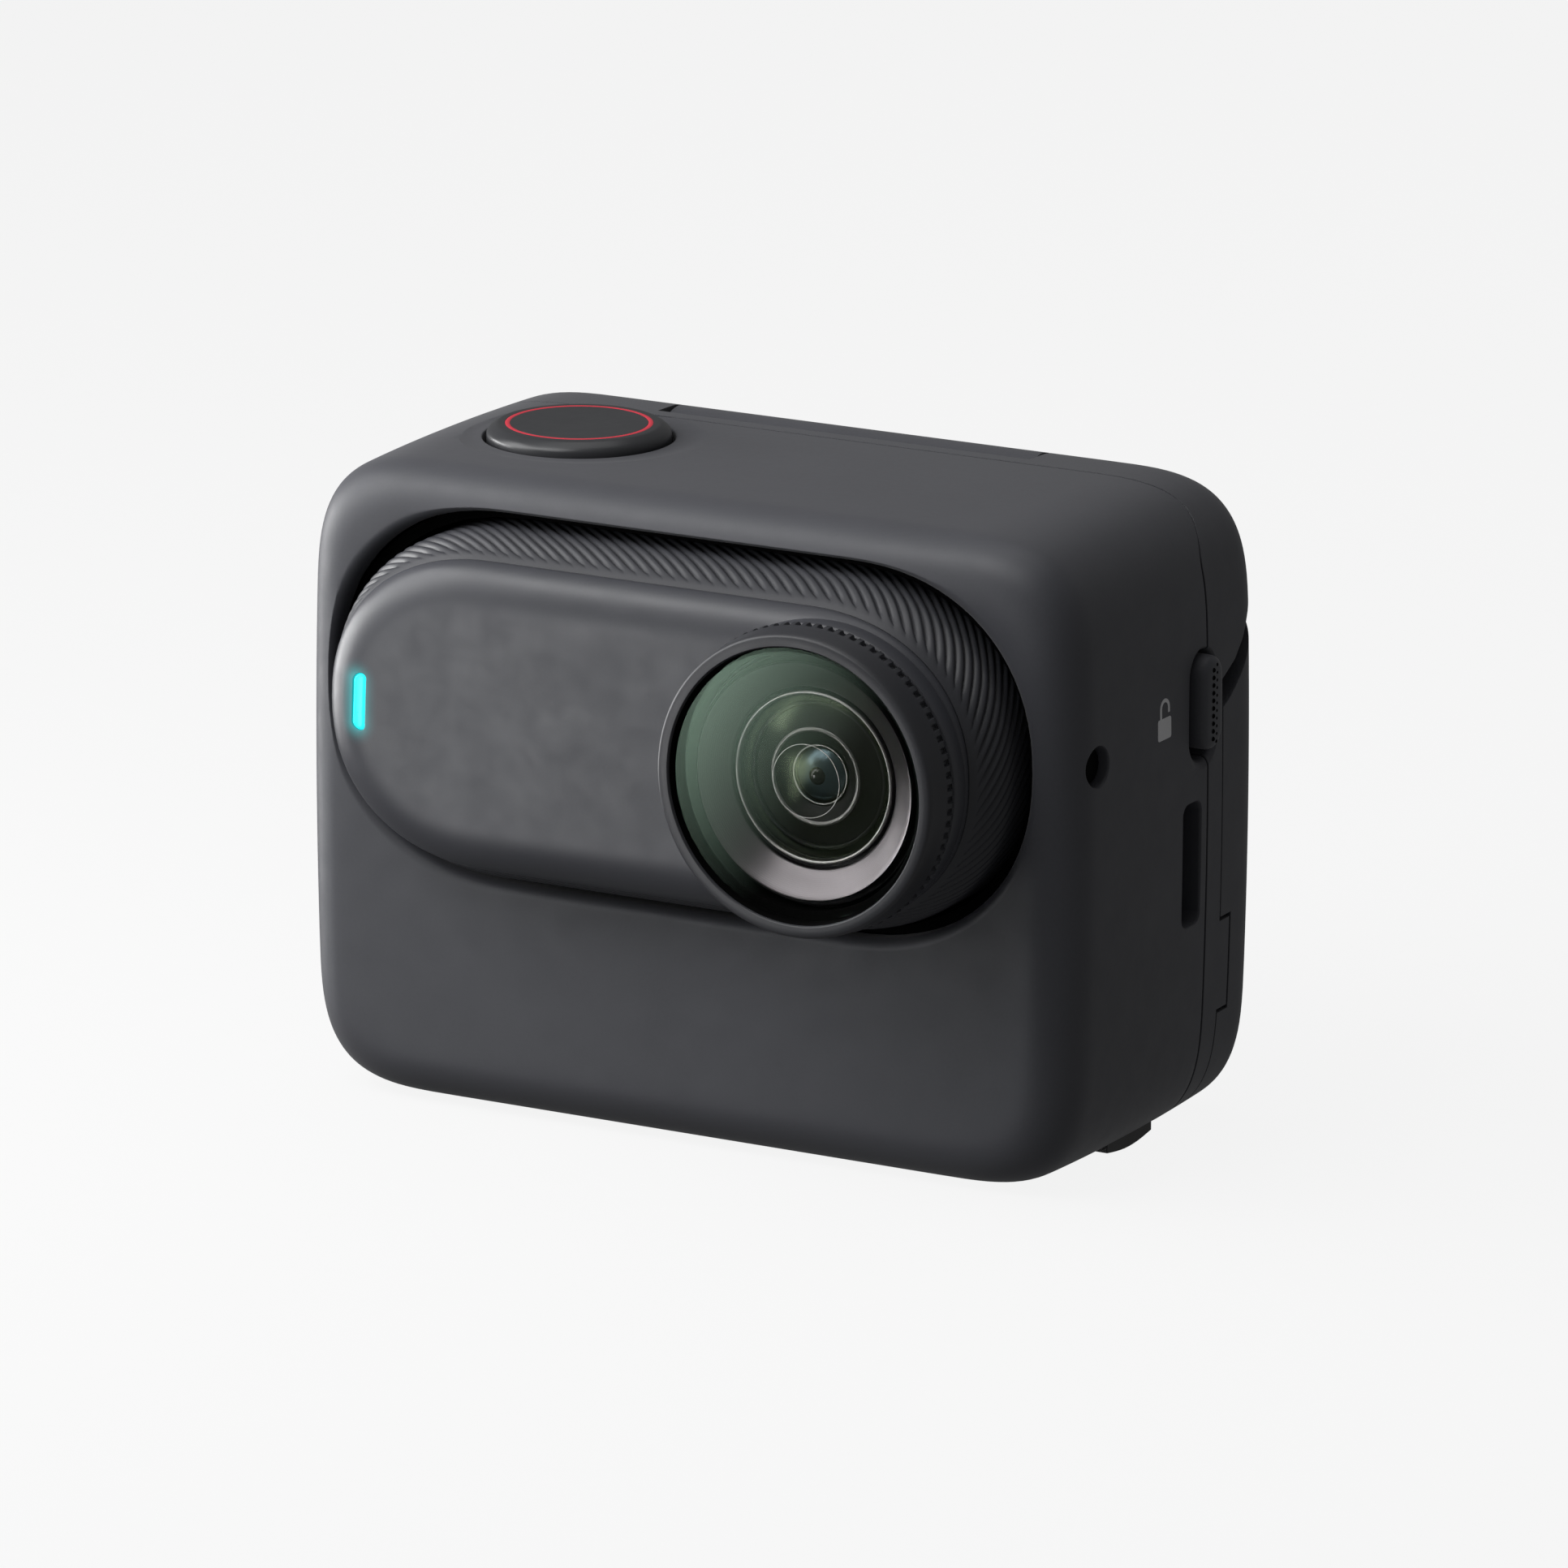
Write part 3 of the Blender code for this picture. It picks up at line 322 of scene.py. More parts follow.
def rounded_rectangle(half_a, half_b, radius, exponent, steps):
    """Points of a rectangle about (0, 0) whose corners are quarters of a superellipse."""
    points = []
    for quarter, (side_a, side_b) in enumerate(((1, 1), (-1, 1), (-1, -1), (1, -1))):
        for i in range(steps + 1):
            turn = i if quarter % 2 == 0 else steps - i
            angle = math.pi / 2 * turn / steps
            a = half_a - radius + radius * math.cos(angle) ** (2 / exponent)
            b = half_b - radius + radius * abs(math.sin(angle)) ** (2 / exponent)
            points.append((side_a * a, side_b * b))
    return points


def arc(centre, radius, start, stop, steps=40):
    """Points of an arc in the YZ plane. Angles are in degrees from +Y, turning towards +Z."""
    points = []
    for i in range(steps + 1):
        angle = math.radians(start + (stop - start) * i / steps)
        points.append((centre[0] + radius * math.cos(angle), centre[1] + radius * math.sin(angle)))
    return points


def angle_at(dy, radius, sign):
    """The angle of the point of a circle at dy from its centre, above (sign 1) or below it (sign -1)."""
    return math.degrees(math.atan2(sign * math.sqrt(radius**2 - dy**2), dy)) % 360


def both_sides(name, x_span, y_span, z_span):
    """The steps of carve that cut a block at the right and its mirror at the left."""
    steps = []
    for side, sign in (("right", 1), ("left", -1)):
        low, high = sorted(sign * x for x in x_span)
        box = block((low, y_span[0], z_span[0]), (high, y_span[1], z_span[1]))
        steps.append(cut(f"{name}_{side}", box))
    return steps


# ------------ outlines of the pod and the pill


def seam_y(z):
    return SEAM_Y + (SEAM_TOP_Y - SEAM_Y) * smooth_step(z, *SEAM_DRIFT_Z)


def pod_outline(inset):
    """The pod's outline in (x, z) about its middle, with extra points along every straight side."""
    half_x = POD_WIDTH / 2 - inset
    half_z = POD_HEIGHT / 2 - inset
    radius = max(POD_CORNER - inset, 1.0)
    steps = 28
    corners = rounded_rectangle(half_x, half_z, radius, POD_CORNER_EXPONENT, steps)
    quarter = steps + 1
    extra = 12
    reach_x = half_x - radius
    reach_z = half_z - radius
    run = [2 * i / extra - 1 for i in range(1, extra)]
    points = corners[:quarter]
    points += [(-t * reach_x, half_z) for t in run]
    points += corners[quarter : 2 * quarter]
    points += [(-half_x, -t * reach_z) for t in run]
    points += corners[2 * quarter : 3 * quarter]
    points += [(t * reach_x, -half_z) for t in run]
    points += corners[3 * quarter :]
    points += [(half_x, t * reach_z) for t in run]
    return points


def pod_point(x, y, z):
    """A point of the flat outline about its middle, moved to the crowned and tapered skin at depth y."""
    u = x / (POD_WIDTH / 2)
    v = z / (POD_HEIGHT / 2)
    shrink = END_TAPER * (y / REAR_Y) ** 2
    x -= math.copysign(SIDE_CROWN * v * v * abs(u), x)
    x *= 1 - shrink / (POD_WIDTH / 2)
    z *= 1 - shrink / (POD_HEIGHT / 2)
    return x, y, z + POD_HEIGHT / 2


def pod_ring(inset, y=None, seam_offset=0.0):
    """One ring of the pod's skin at depth y, or along the housing seam."""
    ring = []
    for x, z in pod_outline(inset):
        depth = seam_y(z + POD_HEIGHT / 2) + seam_offset if y is None else y
        ring.append(pod_point(x, depth, z))
    return ring


def fillet_steps(end_y, fillet, inwards, count=18):
    """(inset, y) pairs of a superelliptic fillet, from the flat end to the side wall."""
    pairs = []
    for i in range(count + 1):
        angle = math.pi / 2 * i / count
        inset = fillet * (1 - math.sin(angle) ** (2 / FILLET_EXPONENT))
        back = fillet * (1 - abs(math.cos(angle)) ** (2 / FILLET_EXPONENT))
        pairs.append((inset, end_y + inwards * back))
    return pairs


def face_steps(fillet, y):
    """(inset, y) pairs that carry a flat end in towards its middle, so that its shading stays even."""
    return [(inset, y) for inset in (fillet + 5.0, fillet + 2.0, fillet + 0.8)]


def pod_solid(name):
    steps = face_steps(FRONT_FILLET, FRONT_Y) + fillet_steps(FRONT_Y, FRONT_FILLET, 1)
    steps += [(0.0, y) for y in (-9.0, -6.0, -3.0, 0.0, 2.5, 4.5, 6.5, 8.5, 10.0)]
    steps += fillet_steps(REAR_Y, REAR_FILLET, -1)[::-1] + face_steps(REAR_FILLET, REAR_Y)[::-1]
    return solid(name, loft([pod_ring(inset, y) for inset, y in steps]))


def pill_ring(inset, y, pill, steps=40, straight_steps=30):
    """One ring of a pill: straight along its length, with superelliptic ends."""
    end = pill["end"] - inset
    straight = pill["half_length"] - inset - end
    height = pill["half_height"] - inset
    power = 2 / pill["exponent"]
    flat = []
    for i in range(steps + 1):
        angle = math.pi / 2 - math.pi * i / steps
        across = straight + end * abs(math.cos(angle)) ** power
        flat.append((across, math.copysign(height * abs(math.sin(angle)) ** power, math.sin(angle))))
    run = [2 * i / straight_steps - 1 for i in range(1, straight_steps)]
    points = flat + [(-t * straight, -height) for t in run]
    points += [(-a, -b) for a, b in flat] + [(t * straight, height) for t in run]
    return [(pill["x"] + a, y, pill["z"] + b) for a, b in points]


# ------------ materials


class Nodes:
    """A short way to write a material's node tree."""

    def __init__(self, name):
        self.material = bpy.data.materials.new(name)
        self.material.use_nodes = True
        self.tree = self.material.node_tree
        self.shader = self.tree.nodes["Principled BSDF"]
        self.place = self.add("ShaderNodeTexCoord").outputs["Object"]

    def add(self, kind, links=None, **settings):
        node = self.tree.nodes.new(kind)
        for key, value in settings.items():
            if hasattr(node, key):
                setattr(node, key, value)
            else:
                node.inputs[key.replace("_", " ")].default_value = value
        for key, value in (links or {}).items():
            if isinstance(value, (int, float, tuple)):
                node.inputs[key].default_value = value
            else:
                self.tree.links.new(value, node.inputs[key])
        return node

    def noise(self, scale, detail=2.0, roughness=0.5):
        links = {"Vector": self.place, "Scale": scale, "Detail": detail, "Roughness": roughness}
        return self.add("ShaderNodeTexNoise", links).outputs["Fac"]

    def remap(self, value, low, high, to_low=0.0, to_high=1.0):
        links = {"Value": value, "From Min": low, "From Max": high, "To Min": to_low, "To Max": to_high}
        return self.add("ShaderNodeMapRange", links).outputs["Result"]

    def math(self, operation, first, second=0.0):
        return self.add("ShaderNodeMath", {0: first, 1: second}, operation=operation).outputs[0]

    def vector(self, operation, first, second=(0.0, 0.0, 0.0), output="Vector"):
        node = self.add("ShaderNodeVectorMath", {0: first, 1: second}, operation=operation)
        return node.outputs[output]

    def mix(self, factor, first, second):
        node = self.add("ShaderNodeMix", data_type="RGBA")
        for index, value in ((0, factor), (6, first), (7, second)):
            if isinstance(value, (int, float)):
                node.inputs[index].default_value = value
            elif isinstance(value, tuple):
                node.inputs[index].default_value = (*value, 1.0)
            else:
                self.tree.links.new(value, node.inputs[index])
        return node.outputs[2]

    def bump(self, height, strength, distance, under=None):
        links = {"Height": height, "Strength": strength, "Distance": distance * MM}
        if under:
            links["Normal"] = under
        return self.add("ShaderNodeBump", links).outputs["Normal"]

    def link(self, socket, output):
        self.tree.links.new(output, self.shader.inputs[socket])

    def set(self, **values):
        for key, value in values.items():
            self.shader.inputs[key.replace("_", " ")].default_value = value


def shade(colour, factor):
    return tuple(channel * factor for channel in colour)


def moulded(name, colour, roughness, grain=0.25, depth=0.006, edge=0.1, sheen=0.0):
    """Moulded plastic: a fine spark-eroded grain, uneven sheen, faint clouding and rounded edges."""
    n = Nodes(name)
    cloud = n.noise(90.0, 3.0)
    fine = n.noise(1000.0 / grain, 2.0, 0.6)
    tone = n.mix(n.remap(cloud, 0.35, 0.65), shade(colour, 0.95), shade(colour, 1.05))
    speck = n.remap(fine, 0.3, 0.7)
    n.link("Base Color", n.mix(speck, tone, n.mix(0.5, tone, shade(colour, 1.12))))
    rub = n.noise(420.0, 4.0, 0.6)
    n.link("Roughness", n.remap(rub, 0.3, 0.7, roughness - 0.035, roughness + 0.035))
    rounded = None
    if edge:
        rounded = n.add("ShaderNodeBevel", {"Radius": edge * MM}, samples=4).outputs["Normal"]
    n.link("Normal", n.bump(fine, 0.5, depth, rounded))
    if sheen:
        n.set(Sheen_Weight=sheen, Sheen_Roughness=0.5)
    return n


def painted_shade_black(name):
    """Near-black painted shade for the inside of a port or gap, and for pieces set where shade falls."""
    n = moulded(name, (0.0015, 0.0015, 0.0016), 0.8, 0.2, 0.004, 0.0)
    n.set(Specular_IOR_Level=0.06)
    return n


def metal(name, colour, roughness):
    """Metal with fine turning or rolling marks."""
    n = Nodes(name)
    cloud = n.noise(150.0, 3.0)
    n.link("Base Color", n.mix(cloud, shade(colour, 0.9), shade(colour, 1.06)))
    marks = n.noise(5000.0, 3.0, 0.7)
    n.link("Roughness", n.remap(marks, 0.3, 0.7, roughness - 0.05, roughness + 0.06))
    n.link("Normal", n.bump(marks, 0.3, 0.002))
    n.set(Metallic=1.0)
    return n


def coated_glass(name, reflection, ior, cover, roughness):
    """Coated glass that is clear but for its share of cover, with faint wiping marks in its gloss."""
    n = Nodes(name)
    smear = n.noise(260.0, 4.0, 0.6)
    n.link("Roughness", n.remap(smear, 0.45, 0.75, roughness, roughness + 0.03))
    n.set(Base_Color=BLACK, IOR=ior, Alpha=cover, Specular_Tint=(*reflection, 1.0))
    return n


def black_glass(name, colour, roughness):
    """Glass printed black on its back, with faint smears."""
    n = Nodes(name)
    smear = n.noise(120.0, 5.0, 0.65)
    n.link("Base Color", n.mix(smear, colour, shade(colour, 1.5)))
    n.link("Roughness", n.remap(smear, 0.4, 0.8, roughness, roughness + 0.08))
    n.set(Coat_Weight=0.6, Coat_Roughness=0.02)
    return n


def inner_glass(name):
    """A dark element deep in the lens, whose coating shines steel blue."""
    n = Nodes(name)
    cloud = n.noise(300.0, 2.0)
    n.link("Base Color", n.mix(cloud, (0.006, 0.012, 0.016), (0.01, 0.02, 0.026)))
    n.link("Roughness", n.remap(cloud, 0.3, 0.7, 0.3, 0.34))
    n.set(IOR=2.8, Specular_Tint=(0.62, 0.9, 1.0, 1.0))
    return n


def circuit_board(name):
    """Green solder mask with tracks and pads."""
    n = Nodes(name)
    links = {"Vector": n.place, "Scale": 900.0}
    cells = n.add("ShaderNodeTexVoronoi", links, feature="DISTANCE_TO_EDGE", distance="CHEBYCHEV")
    track = n.remap(cells.outputs["Distance"], 0.02, 0.06, 1.0, 0.0)
    pads = n.add("ShaderNodeTexVoronoi", {"Vector": n.place, "Scale": 520.0}, feature="F1")
    pad = n.remap(pads.outputs["Distance"], 0.16, 0.2, 1.0, 0.0)
    mask = n.mix(track, (0.012, 0.07, 0.035), (0.03, 0.15, 0.07))
    n.link("Base Color", n.mix(pad, mask, (0.75, 0.6, 0.3)))
    n.link("Metallic", pad)
    n.link("Roughness", n.remap(n.noise(800.0), 0.3, 0.7, 0.3, 0.45))
    n.link("Normal", n.bump(track, 0.4, 0.02))
    return n


def wrapped_cell(name):
    """The dull foil wrap of a lithium cell, creased at random."""
    n = Nodes(name)
    crease = n.noise(140.0, 5.0, 0.65)
    n.link("Base Color", n.mix(crease, (0.08, 0.08, 0.088), (0.2, 0.2, 0.21)))
    n.link("Roughness", n.remap(crease, 0.3, 0.7, 0.3, 0.5))
    n.link("Normal", n.bump(crease, 0.6, 0.12))
    n.set(Metallic=0.7)
    return n


def turned_ring(name, colour, roughness, grooves, metallic=0.0):
    """Fine concentric turning about the lens axis, with that many millimetres from groove to groove."""
    n = Nodes(name)
    centre = (LENS[0] * MM, 0.0, LENS[1] * MM)
    away = n.vector("SUBTRACT", n.place, centre)
    radius = n.vector("LENGTH", n.vector("MULTIPLY", away, (1.0, 0.0, 1.0)), output="Value")
    wave = n.math("SINE", n.math("MULTIPLY", radius, math.tau * 1000.0 / grooves))
    cloud = n.noise(200.0, 3.0)
    n.link("Base Color", n.mix(cloud, shade(colour, 0.93), shade(colour, 1.05)))
    n.link("Roughness", n.remap(cloud, 0.3, 0.7, roughness - 0.03, roughness + 0.03))
    n.link("Normal", n.bump(wave, 0.25, 0.004))
    n.set(Metallic=metallic)
    return n


def paint_led_glow(n, reach, strength):
    """Paints the light that spills from the status lamp onto the cover round it, as cyan emission in the
    cover itself.
    """
    middle = (LED_X * MM, COVER_FRONT_Y * MM, sum(LED_Z) / 2 * MM)
    axes = n.add("ShaderNodeSeparateXYZ", {"Vector": n.vector("SUBTRACT", n.place, middle)}).outputs
    half = (LED_Z[1] - LED_Z[0]) / 2 - 0.55
    past = n.math("MAXIMUM", n.math("SUBTRACT", n.math("ABSOLUTE", axes["Z"]), half * MM), 0.0)
    squared = n.math("ADD", n.math("MULTIPLY", axes["X"], axes["X"]), n.math("MULTIPLY", past, past))
    distance = n.math("SQRT", squared)
    fade = n.remap(distance, 0.45 * MM, reach * MM, 1.0, 0.0)
    painted_spill = n.math("MULTIPLY", n.math("POWER", fade, 2.6), strength)
    n.set(Emission_Color=(*CYAN, 1.0))
    n.link("Emission Strength", painted_spill)


def make_materials():
    """The materials by name. Those that CAD nodes use have the names of the record's slots."""
    made = {
        "housing": moulded("housing_soft_touch", HOUSING, 0.52, sheen=0.1),
        "camera_shell": moulded("camera_tub_satin", CAMERA, 0.42, 0.2, 0.004),
        "black_plastic": moulded("black_satin_plastic", (0.011, 0.011, 0.012), 0.42, 0.3, 0.005),
        # Near-black painted shade for hollows, gaps and shaded pieces.
        "painted_shade": painted_shade_black("painted_shade_near_black"),
        # The tub is the camera's plastic darkened to 0.72: painted shade of the bay's mouth over it.
        "tub": moulded("camera_tub_painted_shade", shade(CAMERA, 0.72), 0.45, 0.2, 0.004),
        "button": moulded("button_satin", (0.03, 0.031, 0.034), 0.34, 0.2, 0.003, 0.06),
        "guard_black": moulded("guard_satin_black", (0.03, 0.031, 0.036), 0.42, 0.15, 0.003, 0.03),
        "barrel": turned_ring("barrel_flat_black", (0.004, 0.004, 0.0045), 0.55, 0.3),
        "bezel": turned_ring("bezel_satin_silver", (0.165, 0.154, 0.159), 0.34, 0.12, 1.0),
        "red": moulded("ring_red", (0.62, 0.035, 0.06), 0.36, 0.2, 0.002, 0.0),
        "icon": moulded("icon_print", (0.6, 0.6, 0.61), 0.5, 0.2, 0.002, 0.0),
        "steel": metal("satin_steel", (0.56, 0.56, 0.57), 0.3),
        "gold": metal("contact_gold", (0.83, 0.62, 0.25), 0.24),
        "circuit_board": circuit_board("circuit_board"),
        "battery": wrapped_cell("cell_wrap"),
        "black_glass": black_glass("screen_glass_black", (0.004, 0.004, 0.005), 0.05),
        "display": black_glass("display_stack", (0.012, 0.013, 0.018), 0.2),
        "lens_glass": coated_glass("guard_glass_coated", (0.69, 1.0, 0.78), 2.6, 0.1, 0.01),
        "front_glass": coated_glass("front_element_coated", (0.8, 1.0, 0.62), 2.6, 0.15, 0.2),
        "blue_glass": inner_glass("inner_element_coated"),
        "seat": moulded("seat_dark_grey", (0.02, 0.021, 0.022), 0.4, 0.2, 0.002, 0.0),
        "lip": metal("ring_satin_grey", (0.42, 0.42, 0.4), 0.36),
        "cover": moulded("camera_cover_satin", CAMERA, 0.4, 0.2, 0.003),
        "light": moulded("status_lamp", (0.02, 0.5, 0.55), 0.3, 0.2, 0.001, 0.0),
    }
    # The cover's cyan glow round the lamp is painted light.
    paint_led_glow(made["cover"], 1.9, 0.35)
    made["light"].set(Emission_Color=(*CYAN, 1.0), Emission_Strength=0.95)
    for name in ("cover", "light"):
        made[name].material.cycles.emission_sampling = "NONE"
    return {name: n.material for name, n in made.items()}


def settle(piece, material, body, slot, *nodes):
    """Gives a piece its material and says which body it rides on and which CAD nodes it stands for."""
    piece.data.materials.clear()
    piece.data.materials.append(material)
    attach(piece, body)
    if nodes:
        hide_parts(*nodes)
    return piece


# ------------ pod shells


def bay_mouth():
    """The cutter for the bay's mouth: the lip rolls in over a small fillet."""
    lip = 0.85
    count = 10
    rings = [pill_ring(-lip - 0.6, FRONT_Y - 2.0, OPENING), pill_ring(-lip - 0.05, FRONT_Y - 0.002, OPENING)]
    for i in range(count + 1):
        angle = math.pi / 2 * i / count
        grow = lip * (1 - math.sin(angle))
        rings.append(pill_ring(-grow, FRONT_Y + lip * (1 - math.cos(angle)), OPENING))
    rings.append(pill_ring(0.0, -11.5, OPENING))
    return cut("cut_bay", loft(rings))


def usb_mouth(x, grow):
    """The mouth of the USB inlet at that x, its outline grown by that much."""
    half_y, half_z = USB_HALF
    outline = rounded_rectangle(half_y + grow, half_z + grow, USB_CORNER + grow, 2.0, 8)
    return [(x, y + USB_MIDDLE[0], z + USB_MIDDLE[1]) for y, z in outline]


def button_dish():
    """The shallow dish round the shutter button, and the button's hole through its middle."""
    profile = [(0, 52.0), (9.8, 52.0), (9.8, 47.62), (9.5, 47.6), (9.1, 47.555), (8.7, 47.5), (8.3, 47.45)]
    profile += [(7.9, 47.42), (7.5, 47.42), (7.2, 47.44), (7.06, 47.43), (7.0, 47.36), (7.0, 44.0), (0, 44.0)]
    return cut("cut_dish", turned(profile, "Z", SHUTTER))


def front_cuts():
    steps = [
        bay_mouth(),
        button_dish(),
        cut("cut_mic", turned(MICROPHONE_HOLE, "X", MICROPHONE, 64)),
        cut("cut_usb", loft([usb_mouth(x, grow) for x, grow in USB_STEPS])),
        cut("cut_knob", stadium_stack(KNOB_HOLE, KNOB_HOLE_STEPS)),
        cut("cut_base", block((-17.0, -9.5, -1.0), (17.0, 4.4, 2.5))),
        *both_sides("cut_notch", (25.2, 33.0), (-3.3, 4.1), (-1.0, 1.6)),
    ]
    for name, heights in SIDE_BUTTONS.items():
        hole = stadium_stack(grown_span((*SIDE_BUTTON_Y, *heights), GAP), BUTTON_HOLE_STEPS)
        steps.append(cut(f"cut_{name}", hole))
    for number, z in enumerate(SPEAKER_SLOT_Z):
        slot = [(b, a) for a, b in stadium(z - 0.5, z + 0.5, *SPEAKER_SLOT_Y)]
        steps.append(cut(f"cut_speaker_{number}", prism(slot, "X", -35.0, -29.0)))
    return steps


def front_shell(looks):
    inner = [(FRONT_FILLET, FRONT_Y + WALL), (2.0, -12.9), (WALL, -11.8), (WALL, 0.0)]
    rings = [pod_ring(inset, y) for inset, y in inner]
    rings.append(pod_ring(WALL, seam_offset=-SEAM_HALF))
    for inset, offset in ((0.1, 0.0), (0.045, -0.02), (0.012, -0.06), (0.0, -0.12)):
        rings.append(pod_ring(inset, seam_offset=offset - SEAM_HALF))
    rings += [pod_ring(0.0, y) for y in (4.6, 3.0, 1.5, 0.0, -2.0, -4.0, -6.0, -8.0, -9.5)]
    rings += [pod_ring(inset, y) for inset, y in fillet_steps(FRONT_Y, FRONT_FILLET, 1)[::-1]]
    rings += [pod_ring(inset, y) for inset, y in face_steps(FRONT_FILLET, FRONT_Y)[::-1]]
    shell = solid("housing_front", loft(rings))
    carve(shell, *front_cuts(), sharp=28)
    even_normals(shell)
    settle(shell, looks["housing"], "pod", "housing", "pod_front_housing")


def arm_slot():
    """The space in the rear housing that the hinge arm and its knuckle turn in."""
    start = angle_at(PLATE_REAR_Y - HINGE[0], ARM_POCKET_R, -1)
    stop = angle_at(STRIP_REAR_Y - HINGE[0], ARM_POCKET_R, 1)
    outline = [(PLATE_REAR_Y, 30.0), *arc(HINGE, ARM_POCKET_R, start, stop)]
    outline += [(STRIP_REAR_Y, 50.0), (17.0, 50.0), (17.0, 30.0)]
    return cut("cut_arm", prism(outline, "X", -ARM_HALF - GAP, ARM_HALF + GAP))


def rear_shell(looks):
    shell = pod_solid("housing_rear")
    heights = [-1.0] + [SEAM_DRIFT_Z[0] + i * 0.25 for i in range(21)] + [50.0]
    front_region = [(seam_y(z) + SEAM_HALF, z) for z in heights] + [(-20.0, 50.0), (-20.0, -1.0)]
    panel_region = [(PLATE_REAR_Y, -1.0), *HUMP, (17.0, -1.0)]
    tab = pod_solid("finger_tab")
    carve(tab, ("INTERSECT", solid("cut_tab", block((29.3, 7.0, 9.1), (33.0, 9.5, 15.7)))))
    steps = [
        cut("cut_front", prism(front_region, "X", -40.0, 40.0)),
        cut("cut_panel", prism(panel_region, "X", -40.0, 40.0)),
        ("UNION", tab),
        arm_slot(),
        *both_sides("cut_cheek", *CHEEK_SPACE),
        cut("cut_shaft", rod("X", HINGE, SHAFT_R + GAP, -18.0, 18.0, 48)),
        cut("cut_flange", rod("Z", SHUTTER, SHUTTER_SKIRT[0] + GAP, 44.6, 46.5)),
        cut("cut_knob_rear", stadium_stack(KNOB_HOLE, KNOB_HOLE_STEPS)),
    ]
    screw_hole = [(0, 5.0), (1.0, 5.0), (1.0, 6.9), (1.7, 6.9), (1.7, 7.7), (1.9, 7.95), (1.9, 9.0), (0, 9.0)]
    for number, place in enumerate(SCREW_PLACES):
        steps.append(cut(f"cut_screw_{number}", turned(screw_hole, "Y", place, 48)))
    carve(shell, *steps, sharp=28)
    even_normals(shell)
    settle(shell, looks["housing"], "pod", "housing", "pod_rear_housing")


def screen_pocket(grow, y):
    """The outline of the screen's glass at depth y, grown by that much."""
    half_x, half_z = SCREEN_HALF
    outline = rounded_rectangle(half_x + grow, half_z + grow, SCREEN_CORNER + grow, 2.4, 14)
    return [(x, y, z + SCREEN_MIDDLE_Z) for x, z in outline]


def corner_gap(side):
    """The gap under the hump that a fingertip opens the screen by, cut into the screen case's top corner."""
    outline = [(7.0, 31.1), *CORNER_EDGE, (15.5, 38.4), (13.5, 39.5), (7.0, 35.0)]
    return prism(outline, "X", *sorted((side * CORNER_FLOOR_X, side * 33.0)))


def flip_screen(looks):
    shell = pod_solid("screen_case")
    panel = [(PANEL_FRONT_Y, -1.0), *HUMP_CASE, (14.9, 38.8), (17.0, 38.8), (17.0, -1.0)]
    region = solid("cut_region", prism(panel, "X", -40.0, 40.0))
    start = angle_at(PANEL_FRONT_Y - HINGE[0], KNUCKLE_R, -1)
    stop = angle_at(ARM_REAR_Y - HINGE[0], KNUCKLE_R, -1) - 360
    arm = [(PANEL_FRONT_Y, 30.0), *arc(HINGE, KNUCKLE_R, start, stop, 60), (ARM_REAR_Y, 30.0)]
    carve(region, ("UNION", solid("cut_arm_region", prism(arm, "X", -ARM_HALF, ARM_HALF))))
    pocket_steps = ((0.0, 10.6), (0.0, 14.55), (0.08, 14.65), (0.35, 14.85), (0.6, 16.0))
    pocket = loft([screen_pocket(grow, y) for grow, y in pocket_steps])
    steps = (
        ("INTERSECT", region),
        cut("cut_tab_space", block((29.0, 7.0, 8.8), (33.0, 9.75, 16.0))),
        cut("cut_pocket", pocket),
        cut("cut_corner_right", corner_gap(1)),
        cut("cut_corner_left", corner_gap(-1)),
        cut("cut_bore_right", rod("X", HINGE, SHAFT_R, 12.0, 16.0, 48)),
        cut("cut_bore_left", rod("X", HINGE, SHAFT_R, -16.0, -12.0, 48)),
    )
    carve(shell, *steps, sharp=28)
    even_normals(shell)
    settle(shell, looks["housing"], "flip_screen", "housing", "screen_shell")
    # Near-black sheets in the corner gaps under the hump: painted shade of the deep scoop.
    for name, side in (("corner_painted_shade_right", 1), ("corner_painted_shade_left", -1)):
        ends = sorted((side * (CORNER_FLOOR_X - 0.3), side * (CORNER_FLOOR_X + 0.04)))
        corner_shade_sheet = solid(name, prism([*CORNER_EDGE[:5], *HUMP_CASE[::-1]], "X", *ends))
        settle(corner_shade_sheet, looks["painted_shade"], "flip_screen", "housing")
    glass_steps = ((-0.3, 13.85), (-0.12, 13.85), (-0.1, 14.4), (-0.14, 14.5), (-0.24, 14.57), (-0.4, 14.6))
    glass = solid("screen_cover_glass", loft([screen_pocket(grow, y) for grow, y in glass_steps]))
    settle(even_normals(glass), looks["black_glass"], "flip_screen", "black_glass", "screen_glass")


# ------------ controls


